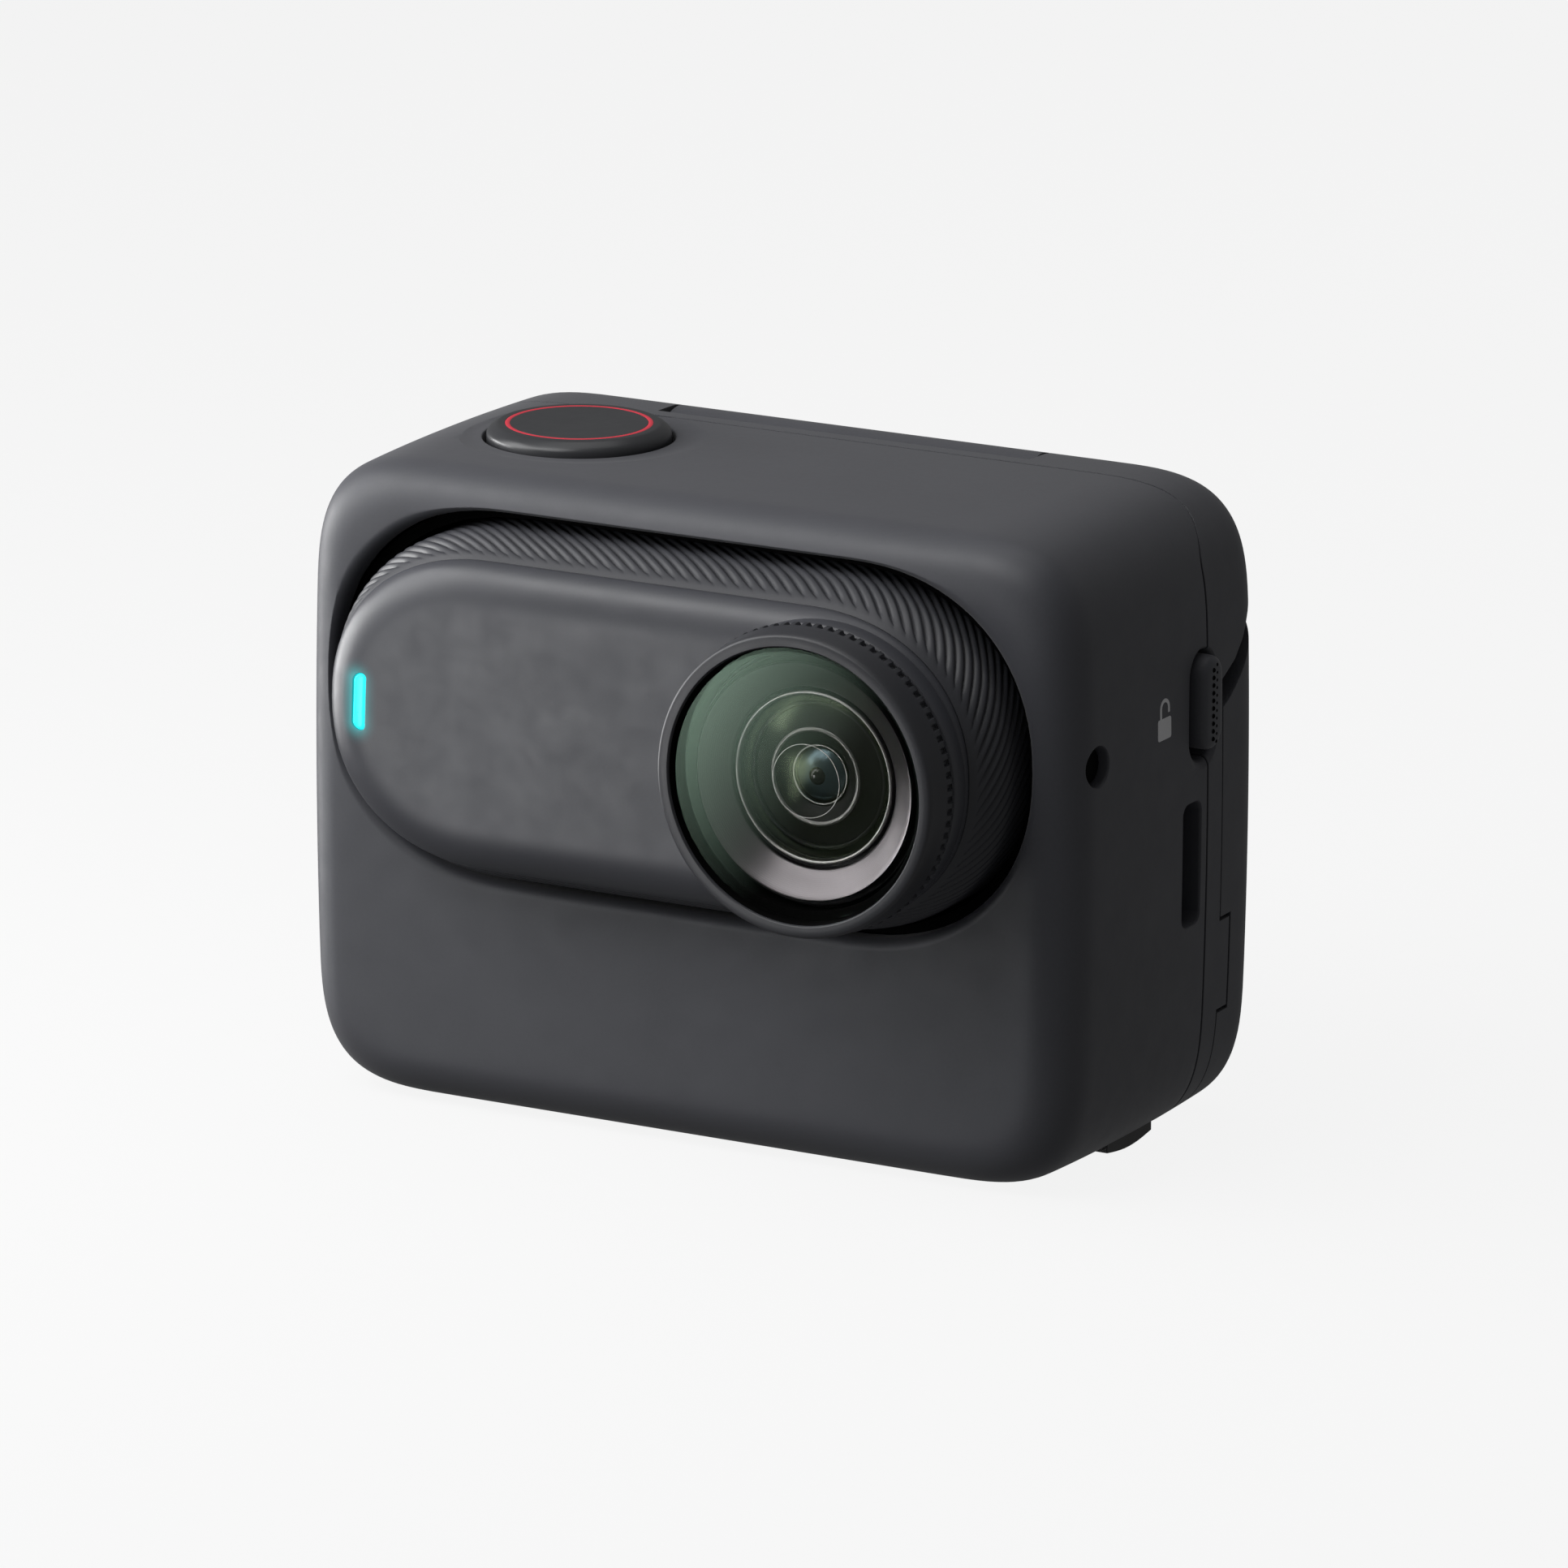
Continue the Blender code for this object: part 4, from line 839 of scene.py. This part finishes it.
def shutter(looks):
    top = SHUTTER_TOP_Z
    r0, r1 = RED_RING
    skirt_r, skirt_low, skirt_high = SHUTTER_SKIRT
    profile = [(0, top), (r0, top), (r0, top - 0.1), (r1, top - 0.1), (r1, top), (5.78, top - 0.004)]
    profile += [(5.9, top - 0.02), (6.02, top - 0.07), (6.38, top - 0.3), (6.55, top - 0.45)]
    profile += [(6.64, top - 0.58), (6.69, top - 0.72), (SHUTTER_R, top - 0.9), (SHUTTER_R, skirt_high)]
    profile += [(skirt_r, skirt_high), (skirt_r, skirt_low), (3.2, skirt_low), (3.2, 46.9), (0, 46.9)]
    cap = solid("record_button", turned(profile, "Z", SHUTTER, 192), 30)
    settle(cap, looks["button"], "shutter_button", "black_plastic", "shutter_button")
    band = [(r0 + 0.01, top - 0.09), (r1 - 0.01, top - 0.09), (r1 - 0.01, top - 0.01), (5.3, top + 0.012)]
    band += [(5.06, top + 0.012), (r0 + 0.01, top - 0.01)]
    ring = solid("record_ring", turned(band, "Z", SHUTTER, 192))
    settle(ring, looks["red"], "shutter_button", "red", "shutter_red_ring")


def release_knob(looks):
    """The release slide's knob, and the three columns of dots on its face."""
    knob = solid("release_slider", stadium_stack(KNOB_SPAN, KNOB_STEPS))
    settle(knob, looks["housing"], "release_switch", "housing", "release_knob")
    dots = bmesh.new()
    for column, (rows, rise) in enumerate(((10, 0.28), (11, 0.0), (10, 0.28))):
        for row in range(rows):
            y = 4.62 + column * GRIP_PITCH
            z = 29.8 + row * GRIP_PITCH + rise
            place = Matrix.Translation((32.5 - 0.09 * column, y, z))
            bmesh.ops.create_icosphere(dots, subdivisions=2, radius=GRIP_DOT_R, matrix=place)
    # Painted shade: the grip dots are near-black beads that stand in for dark dimples.
    settle(solid("release_grip", dots), looks["painted_shade"], "release_switch", "housing")


def side_buttons(looks):
    """The two oval buttons on the left side, each with a flange inside the wall."""
    steps = [(-29.3, 0.5), (-29.7, 0.5), (-29.7, 0), (-31.55, 0)]
    steps += [(-31.8, -0.06), (-31.95, -0.2), (-32.0, -0.42)]
    for name, heights in SIDE_BUTTONS.items():
        piece = solid(f"{name}_cap", stadium_stack((*SIDE_BUTTON_Y, *heights), steps))
        settle(even_normals(piece), looks["button"], name, "black_plastic", name)


def side_x(y, z):
    """The x of the pod's right side at a depth and height."""
    return pod_point(POD_WIDTH / 2, y, z - POD_HEIGHT / 2)[0]


def on_side(name, outline, thickness=0.02):
    """A flat printed shape that follows the right side, a hair proud of it."""
    rings = []
    for out in (-thickness, thickness):
        rings.append([(side_x(y, z) + out, y, z) for y, z in outline])
    return solid(name, loft(rings))


def padlock(looks):
    """The open padlock printed beside the release slide."""
    body = [(y - 1.25, z + 32.05) for y, z in rounded_rectangle(1.0, 0.78, 0.2, 2.0, 5)]
    settle(on_side("padlock_body", body), looks["icon"], "pod", "housing")
    centre = (-1.18, 33.5)
    outer = arc(centre, 0.74, 180, 0, 24)
    inner = arc(centre, 0.47, 0, 180, 24)
    shackle = [(-1.92, 32.75), *outer, (-0.44, 33.15), (-0.71, 33.15), *inner, (-1.65, 32.75)]
    settle(on_side("padlock_shackle", shackle), looks["icon"], "pod", "housing")


# ------------ camera


def resampled(ring, count, start):
    """The same closed ring with evenly spaced points, the first of them that far along it."""
    points = [Vector(point) for point in ring]
    points.append(points[0])
    reach = [0.0]
    for a, b in zip(points, points[1:]):
        reach.append(reach[-1] + (b - a).length)
    total = reach[-1]
    result = []
    for k in range(count):
        target = (total * k / count + start) % total
        i = min(bisect.bisect_right(reach, target) - 1, len(points) - 2)
        t = (target - reach[i]) / (reach[i + 1] - reach[i])
        result.append(points[i].lerp(points[i + 1], t))
    return result


def ribbed_ring(inset, y, depth):
    """A ring of the tub with ribs cut to that depth. Its points turn with y, to follow the ribs' slant."""
    count = RIB_COUNT * RIB_SAMPLES
    front, rear = RIB_SPAN_Y
    start = -RIB_SLANT * (min(max(y, front), rear) - front)
    points = resampled(pill_ring(inset, y, PILL, 96, 60), count, start)
    ring = []
    for k, point in enumerate(points):
        valley = (1 - abs(math.sin(math.pi * k / RIB_SAMPLES))) ** 1.3
        along = points[(k + 1) % count] - points[k - 1]
        inward = Vector((along.z, 0, -along.x)).normalized()
        moved = point + inward * depth * valley
        ring.append((moved.x, moved.y, moved.z))
    return ring


def tub(looks):
    seam = COVER_SEAM_Y + COVER_SEAM_HALF
    steps = [(3.4, CAMERA_BACK_Y - 1.2, 0), (1.6, -2.4, 0), (1.2, -4.0, 0), (1.2, -15.0, 0), (2.65, seam, 0)]
    steps += [(COVER_SEAM_INSET + 0.03, seam, 0), (COVER_SEAM_INSET, seam + 0.03, 0)]
    curve = [(1.4, -18.05), (1.2, -17.85), (1.02, -17.6), (0.85, -17.3), (0.7, -17.0), (0.56, -16.7)]
    curve += [(0.43, -16.4), (0.32, -16.1), (0.22, -15.8), (0.14, -15.5), (0.08, -15.2), (0.03, -14.9)]
    curve += [(0.0, -14.5 + 0.5 * i) for i in range(6)]
    for inset, y in curve:
        steps.append((inset, y, RIB_DEPTH * smooth_step(y, -17.7, -16.9)))
    steps += [(0.0, -11.5, RIB_DEPTH * 0.5), (0.0, -11.0, 0), (0.0, -3.0, 0), (0.45, -1.2, 0)]
    steps += [(1.1, -0.3, 0), (2.2, CAMERA_BACK_Y, 0), (6.0, CAMERA_BACK_Y, 0)]
    shell = solid("tub_ribbed", loft([ribbed_ring(inset, y, depth) for inset, y, depth in steps]), 40)
    carve(
        shell,
        cut("cut_socket", block((19.6, -0.7, 31.0), (22.4, 1.0, 34.9))),
        cut("cut_pads", block((-6.6, -0.4, 22.2), (6.6, 1.0, 25.5))),
        sharp=40,
    )
    settle(shell, looks["tub"], "camera", "camera_shell", "camera_tub")


def lamp_outline(grow):
    """The status lamp's outline, bowed as the end of the cover is."""
    span = (LED_X - LED_HALF_WIDTH, LED_X + LED_HALF_WIDTH, *LED_Z)
    points = stadium(*grown_span(span, grow))
    return [(x + LED_BOW * (z - PILL["z"]) ** 2, z) for x, z in points]


def cover(looks):
    """The front cover: a rounded edge that rises from the seam, a flat face and the boss round the lens."""
    seam = COVER_SEAM_Y - COVER_SEAM_HALF
    width, height, count = 3.6, seam - COVER_FRONT_Y, 20
    rings = [pill_ring(5.4, COVER_FRONT_Y + 1.2, PILL), pill_ring(2.65, seam, PILL)]
    rings += [pill_ring(COVER_SEAM_INSET + 0.03, seam, PILL)]
    for i in range(1, count + 1):
        angle = math.pi / 2 * i / count
        inset = COVER_SEAM_INSET + width * (1 - math.cos(angle) ** (2 / COVER_EXPONENT))
        rings.append(pill_ring(inset, seam - height * math.sin(angle) ** (2 / COVER_EXPONENT), PILL))
    rings += [pill_ring(inset, COVER_FRONT_Y, PILL) for inset in (5.6, 6.5, 8.5)]
    shell = solid("cover_shell", loft(rings))
    boss = [(0, -19.4), (10.9, -19.4), (11.0, -20.0), (11.0, -20.95)]
    boss += [(10.95, -21.1), (10.8, -21.2), (0, -21.2)]
    bore = [(0, -23), (9.31, -23), (9.42, -17), (0, -17)]
    carve(
        shell,
        ("UNION", solid("lens_boss", turned(boss, "Y", LENS, LENS_SIDES))),
        cut("cut_lens", turned(bore, "Y", LENS, 144)),
        cut("cut_lamp", prism(lamp_outline(0.06), "Y", -22.0, -18.0)),
        sharp=30,
    )
    settle(even_normals(shell), looks["cover"], "camera", "camera_shell", "camera_cover")


def status_lamp(looks):
    rings = []
    for grow, y in ((0.03, -19.4), (0.03, -20.2), (-0.02, -20.27), (-0.12, -20.31), (-0.25, -20.33)):
        rings.append([(x, y, z) for x, z in lamp_outline(grow)])
    settle(solid("status_lamp", loft(rings)), looks["light"], "camera", "light", "status_light_window")


def dome(radius, apex_y, sag, steps):
    """(radius, y) points of a spherical cap from its apex to its rim."""
    sphere = (radius**2 + sag**2) / (2 * sag)
    points = []
    for i in range(steps + 1):
        r = radius * i / steps
        points.append((r, apex_y + sphere - math.sqrt(sphere**2 - r**2)))
    return points


def lens_turned(name, profile, look, slot, *nodes, body="camera", sides=LENS_SIDES, sharp=40):
    """A piece turned about the lens axis from its (radius, y) profile."""
    piece = solid(name, turned(profile, "Y", LENS, sides), sharp)
    settle(piece, look, body, slot, *nodes)


def lens(looks):
    """The barrel, silver bezel and domed glass, then the rings, a thin ring on the dome that is a painted
    glint, and the small blue element behind it.
    """
    barrel = [(9.0, -8.0), (4.6, -8.0), (4.6, -13.0), (5.9, -13.0), (5.9, -21.0), (6.3, -21.0)]
    barrel += [(8.88, -22.35), (8.95, -22.33), (9.0, -22.2)]
    lens_turned("barrel_body", barrel, looks["barrel"], "black_plastic", "lens_barrel", sharp=35)
    bezel = [(6.56, -21.56), (6.62, -21.66), (6.75, -21.76), (7.3, -22.12), (7.8, -22.45), (8.15, -22.7)]
    bezel += [(8.4, -22.88), (8.5, -22.93), (8.55, -22.86), (8.56, -22.6), (6.56, -21.25)]
    lens_turned("bezel_cone", bezel, looks["bezel"], "bezel", "lens_bezel_ring", sides=192, sharp=50)
    rim = [(5.98, -21.5), (6.02, -21.58), (6.1, -21.62), (6.2, -21.58), (6.25, -21.5), (6.25, -21.05)]
    rim += [(5.98, -21.05)]
    lens_turned("element_rim", rim, looks["lip"], "bezel", sides=192, sharp=60)
    back = [(r, y + 0.75) for r, y in dome(5.4, -22.9, 1.3, 24)]
    element = dome(5.9, -22.9, 1.55, 28) + [(5.9, -20.9), (5.4, -20.9)] + back[::-1]
    lens_turned("front_element", element, looks["front_glass"], "lens_glass", "lens_front_element")
    seat = [(5.1, -20.75), (5.14, -20.85), (5.3, -20.85), (5.36, -20.75), (5.36, -20.62), (5.1, -20.62)]
    lens_turned("element_seat", seat, looks["seat"], "black_plastic", sharp=60)
    inner = [(3.2, -21.2), (3.28, -21.26), (3.52, -21.26), (3.62, -21.2), (3.8, -21.05), (5.05, -20.6)]
    inner += [(5.05, -20.0), (2.3, -20.0), (2.3, -20.5), (3.1, -21.0)]
    lens_turned("inner_ring", inner, looks["barrel"], "black_plastic", "lens_inner_ring")
    for name, radius, y, width in LIPS:
        lip = [(radius - width, y + 0.06), (radius - width * 0.75, y)]
        lip += [(radius + width * 0.75, y), (radius + width, y + 0.06)]
        lens_turned(name, lip, looks["lip"], "black_plastic", sharp=60)
    small = dome(1.9, -21.1, 0.75, 18) + [(1.9, -17.5), (0, -17.5)]
    lens_turned("inner_element", small, looks["blue_glass"], "lens_glass", "lens_rear_element", sides=96)
    bead = dome(0.75, -21.35, 0.5, 12) + [(0.75, -20.6), (0, -20.6)]
    lens_turned("inner_bead", bead, looks["black_glass"], "lens_glass", sides=64)


def tooth(angle, radius, height):
    """Short notches round the back edge of the guard's rim."""
    if radius < 11.0 or height < -22.4:
        return radius
    notch = smooth_step(math.cos(TEETH * angle), -0.1, 0.6)
    return radius - 0.3 * notch * smooth_step(height, -22.35, -22.15)


def guard(looks):
    """The twist-off guard: its notched rim, a near-black sheet of painted shade over the seat and inner wall
    behind the pane, and the pane itself.
    """
    profile = [(9.3, -21.5), (9.3, -23.1), (9.95, -23.1), (9.95, -24.42), (9.99, -24.53), (10.07, -24.6)]
    profile += [(10.3, -24.6), (10.66, -24.58), (10.76, -24.54), (10.84, -24.46), (10.89, -24.34)]
    profile += [(10.93, -24.1), (10.98, -23.6), (11.02, -23.1), (11.07, -22.6), (11.1, -22.42)]
    profile += [(11.13, -22.25), (11.16, -22.1), (11.18, -21.9), (11.16, -21.62)]
    profile += [(11.08, -21.52), (10.9, -21.5)]
    rim = solid("guard_rim", turned(profile, "Y", LENS, TEETH * 10, tooth), 40)
    settle(rim, looks["guard_black"], "lens_guard", "guard_black", "guard_ring")
    # Painted shade: a near-black sheet over the pane's seat and the guard's inner wall.
    guard_shade = [(9.27, -21.6), (9.27, -23.13), (9.92, -23.13), (9.92, -24.4), (9.97, -24.4), (9.97, -23.05)]
    guard_shade += [(9.32, -23.05), (9.32, -21.6)]
    lens_turned("guard_painted_shade", guard_shade, looks["painted_shade"], "guard_black", body="lens_guard")
    pane = [(0, -24.12), (9.6, -24.12), (9.72, -24.06), (9.78, -23.98), (9.78, -23.3), (0, -23.3)]
    look = looks["lens_glass"]
    lens_turned("guard_pane", pane, look, "lens_glass", "guard_glass", body="lens_guard", sharp=15)


# ------------ CAD nodes that stay


# The bay liner and the USB and microphone parts get painted shade in place of their own materials.
PAINTED_SHADE_NODES = ("bay_liner", "usb_shell", "usb_tongue", "side_microphone")


def dress_cad_nodes(looks):
    """Gives every CAD node the material of its slot, or near-black painted shade for the nodes that sit in
    hollows.
    """
    for part in frame["record"]["subparts"]:
        obj = frame["nodes"][part["node"]]
        look = looks["painted_shade"] if part["node"] in PAINTED_SHADE_NODES else looks[part["material_slot"]]
        if not obj.material_slots:
            obj.data.materials.append(look)
        for place in obj.material_slots:
            place.material = look


# ------------ stage, lights and camera


def floor():
    mesh_data = bmesh.new()
    bmesh.ops.create_grid(mesh_data, x_segments=2, y_segments=2, size=30000.0)
    plane = solid("floor", mesh_data)
    plane.location.z = -0.00005
    n = Nodes("floor_paper")
    fine = n.noise(300.0, 3.0)
    n.link("Base Color", n.mix(fine, (0.058, 0.058, 0.058), (0.062, 0.062, 0.062)))
    n.set(Roughness=0.9, Specular_IOR_Level=0.0, Emission_Color=WHITE, Emission_Strength=0.88)
    plane.data.materials.append(n.material)
    n.material.cycles.emission_sampling = "NONE"
    plane.visible_glossy = False
    plane.visible_diffuse = False


def lens_reflector():
    """A card with a soft edge, placed where the picture's camera sees it mirrored in the lens guard."""
    eye = bpy.context.scene.camera.matrix_world.translation / MM
    pane = Vector((LENS[0], -24.1, LENS[1]))
    ray = (pane - eye).normalized()
    mirrored = Vector((ray.x, -ray.y, ray.z))
    centre = pane + mirrored * CARD_DISTANCE
    across = Vector((-mirrored.y, mirrored.x, 0.0)).normalized()
    above = mirrored.cross(across).normalized()
    mesh_data = bmesh.new()
    corners = [(a * CARD_HALF, b * CARD_HALF, 0.0) for a, b in ((-1, -1), (1, -1), (1, 1), (-1, 1))]
    mesh_data.faces.new([mesh_data.verts.new(corner) for corner in corners])
    card = solid("lens_reflector", mesh_data)
    axes = Matrix((across, above, mirrored)).transposed()
    card.matrix_world = Matrix.Translation(centre * MM) @ axes.to_4x4()
    n = Nodes("reflector_card")
    place = n.add("ShaderNodeSeparateXYZ", {"Vector": n.place}).outputs
    slope = n.math("SUBTRACT", n.math("MULTIPLY", place["X"], 0.82), n.math("MULTIPLY", place["Y"], 0.57))
    fade = n.remap(slope, -16.0 * MM, 3.0 * MM, 1.0, 0.0)
    n.set(Base_Color=BLACK, Emission_Color=WHITE)
    n.link("Emission Strength", n.math("MULTIPLY", n.math("POWER", fade, 1.7), 8.0))
    card.data.materials.append(n.material)
    card.visible_camera = False
    card.visible_diffuse = False
    card.visible_shadow = False
    card.visible_transmission = False


def area_light(name, place, aim, size, power):
    lamp = bpy.data.lights.new(name, "AREA")
    lamp.shape = "RECTANGLE"
    lamp.size, lamp.size_y = size[0] * MM, size[1] * MM
    lamp.energy = power
    obj = bpy.data.objects.new(name, lamp)
    bpy.context.collection.objects.link(obj)
    obj.location = Vector(place) * MM
    obj.rotation_mode = "QUATERNION"
    obj.rotation_quaternion = (Vector(aim) * MM - obj.location).to_track_quat("-Z", "Y")
    obj.visible_camera = False
    return obj


def lights():
    middle = (0.0, 0.0, 28.0)
    area_light("top_softbox", (-40.0, 20.0, 420.0), middle, (340.0, 260.0), 0.3)
    area_light("key_softbox", (-130.0, -75.0, 115.0), (-10.0, -8.0, 30.0), (120.0, 120.0), 0.2)
    area_light("top_front_softbox", (-60.0, -160.0, 240.0), middle, (150.0, 150.0), 0.28)
    fill = area_light("front_left_fill", (-260.0, -420.0, 160.0), middle, (300.0, 300.0), 0.24)
    fill.visible_glossy = False
    area_light("left_wall", (-300.0, -40.0, 8.0), middle, (200.0, 140.0), 1.0)


def studio_air():
    """An even white world: bright as a backdrop, dim as a light."""
    world = bpy.data.worlds.new("studio")
    bpy.context.scene.world = world
    world.use_nodes = True
    tree = world.node_tree
    back = tree.nodes["Background"]
    rays = tree.nodes.new("ShaderNodeLightPath")
    strength = tree.nodes.new("ShaderNodeMapRange")
    strength.inputs["To Min"].default_value = WORLD_LIGHT
    strength.inputs["To Max"].default_value = WORLD_BACKDROP
    tree.links.new(rays.outputs["Is Camera Ray"], strength.inputs["Value"])
    tree.links.new(strength.outputs["Result"], back.inputs["Strength"])
    back.inputs["Color"].default_value = WHITE


def picture_camera():
    azimuth, elevation = math.radians(VIEW_AZIMUTH), math.radians(VIEW_ELEVATION)
    flat = math.cos(elevation)
    back = Vector((math.sin(azimuth) * flat, -math.cos(azimuth) * flat, math.sin(elevation)))
    right = Vector((math.cos(azimuth), math.sin(azimuth), 0.0))
    up = back.cross(right)
    roll = math.radians(VIEW_ROLL)
    turned_right = right * math.cos(roll) + up * math.sin(roll)
    turned_up = up * math.cos(roll) - right * math.sin(roll)
    camera = bpy.data.cameras.new("picture_camera")
    camera.angle = math.radians(VIEW_ANGLE)
    camera.shift_x, camera.shift_y = VIEW_SHIFT
    camera.clip_start, camera.clip_end = 0.01, 100.0
    obj = bpy.data.objects.new("picture_camera", camera)
    bpy.context.collection.objects.link(obj)
    axes = Matrix((turned_right, turned_up, back)).transposed()
    place = Vector((0.0, 0.0, VIEW_AIM_Z * MM)) + back * VIEW_DISTANCE * MM
    obj.matrix_world = Matrix.Translation(place) @ axes.to_4x4()
    bpy.context.scene.camera = obj


def main():
    picture_camera()
    looks = make_materials()
    dress_cad_nodes(looks)
    front_shell(looks)
    rear_shell(looks)
    flip_screen(looks)
    shutter(looks)
    release_knob(looks)
    side_buttons(looks)
    padlock(looks)
    tub(looks)
    cover(looks)
    status_lamp(looks)
    lens(looks)
    guard(looks)
    floor()
    lights()
    studio_air()
    lens_reflector()
    bpy.context.scene.view_settings.view_transform = "Standard"


main()
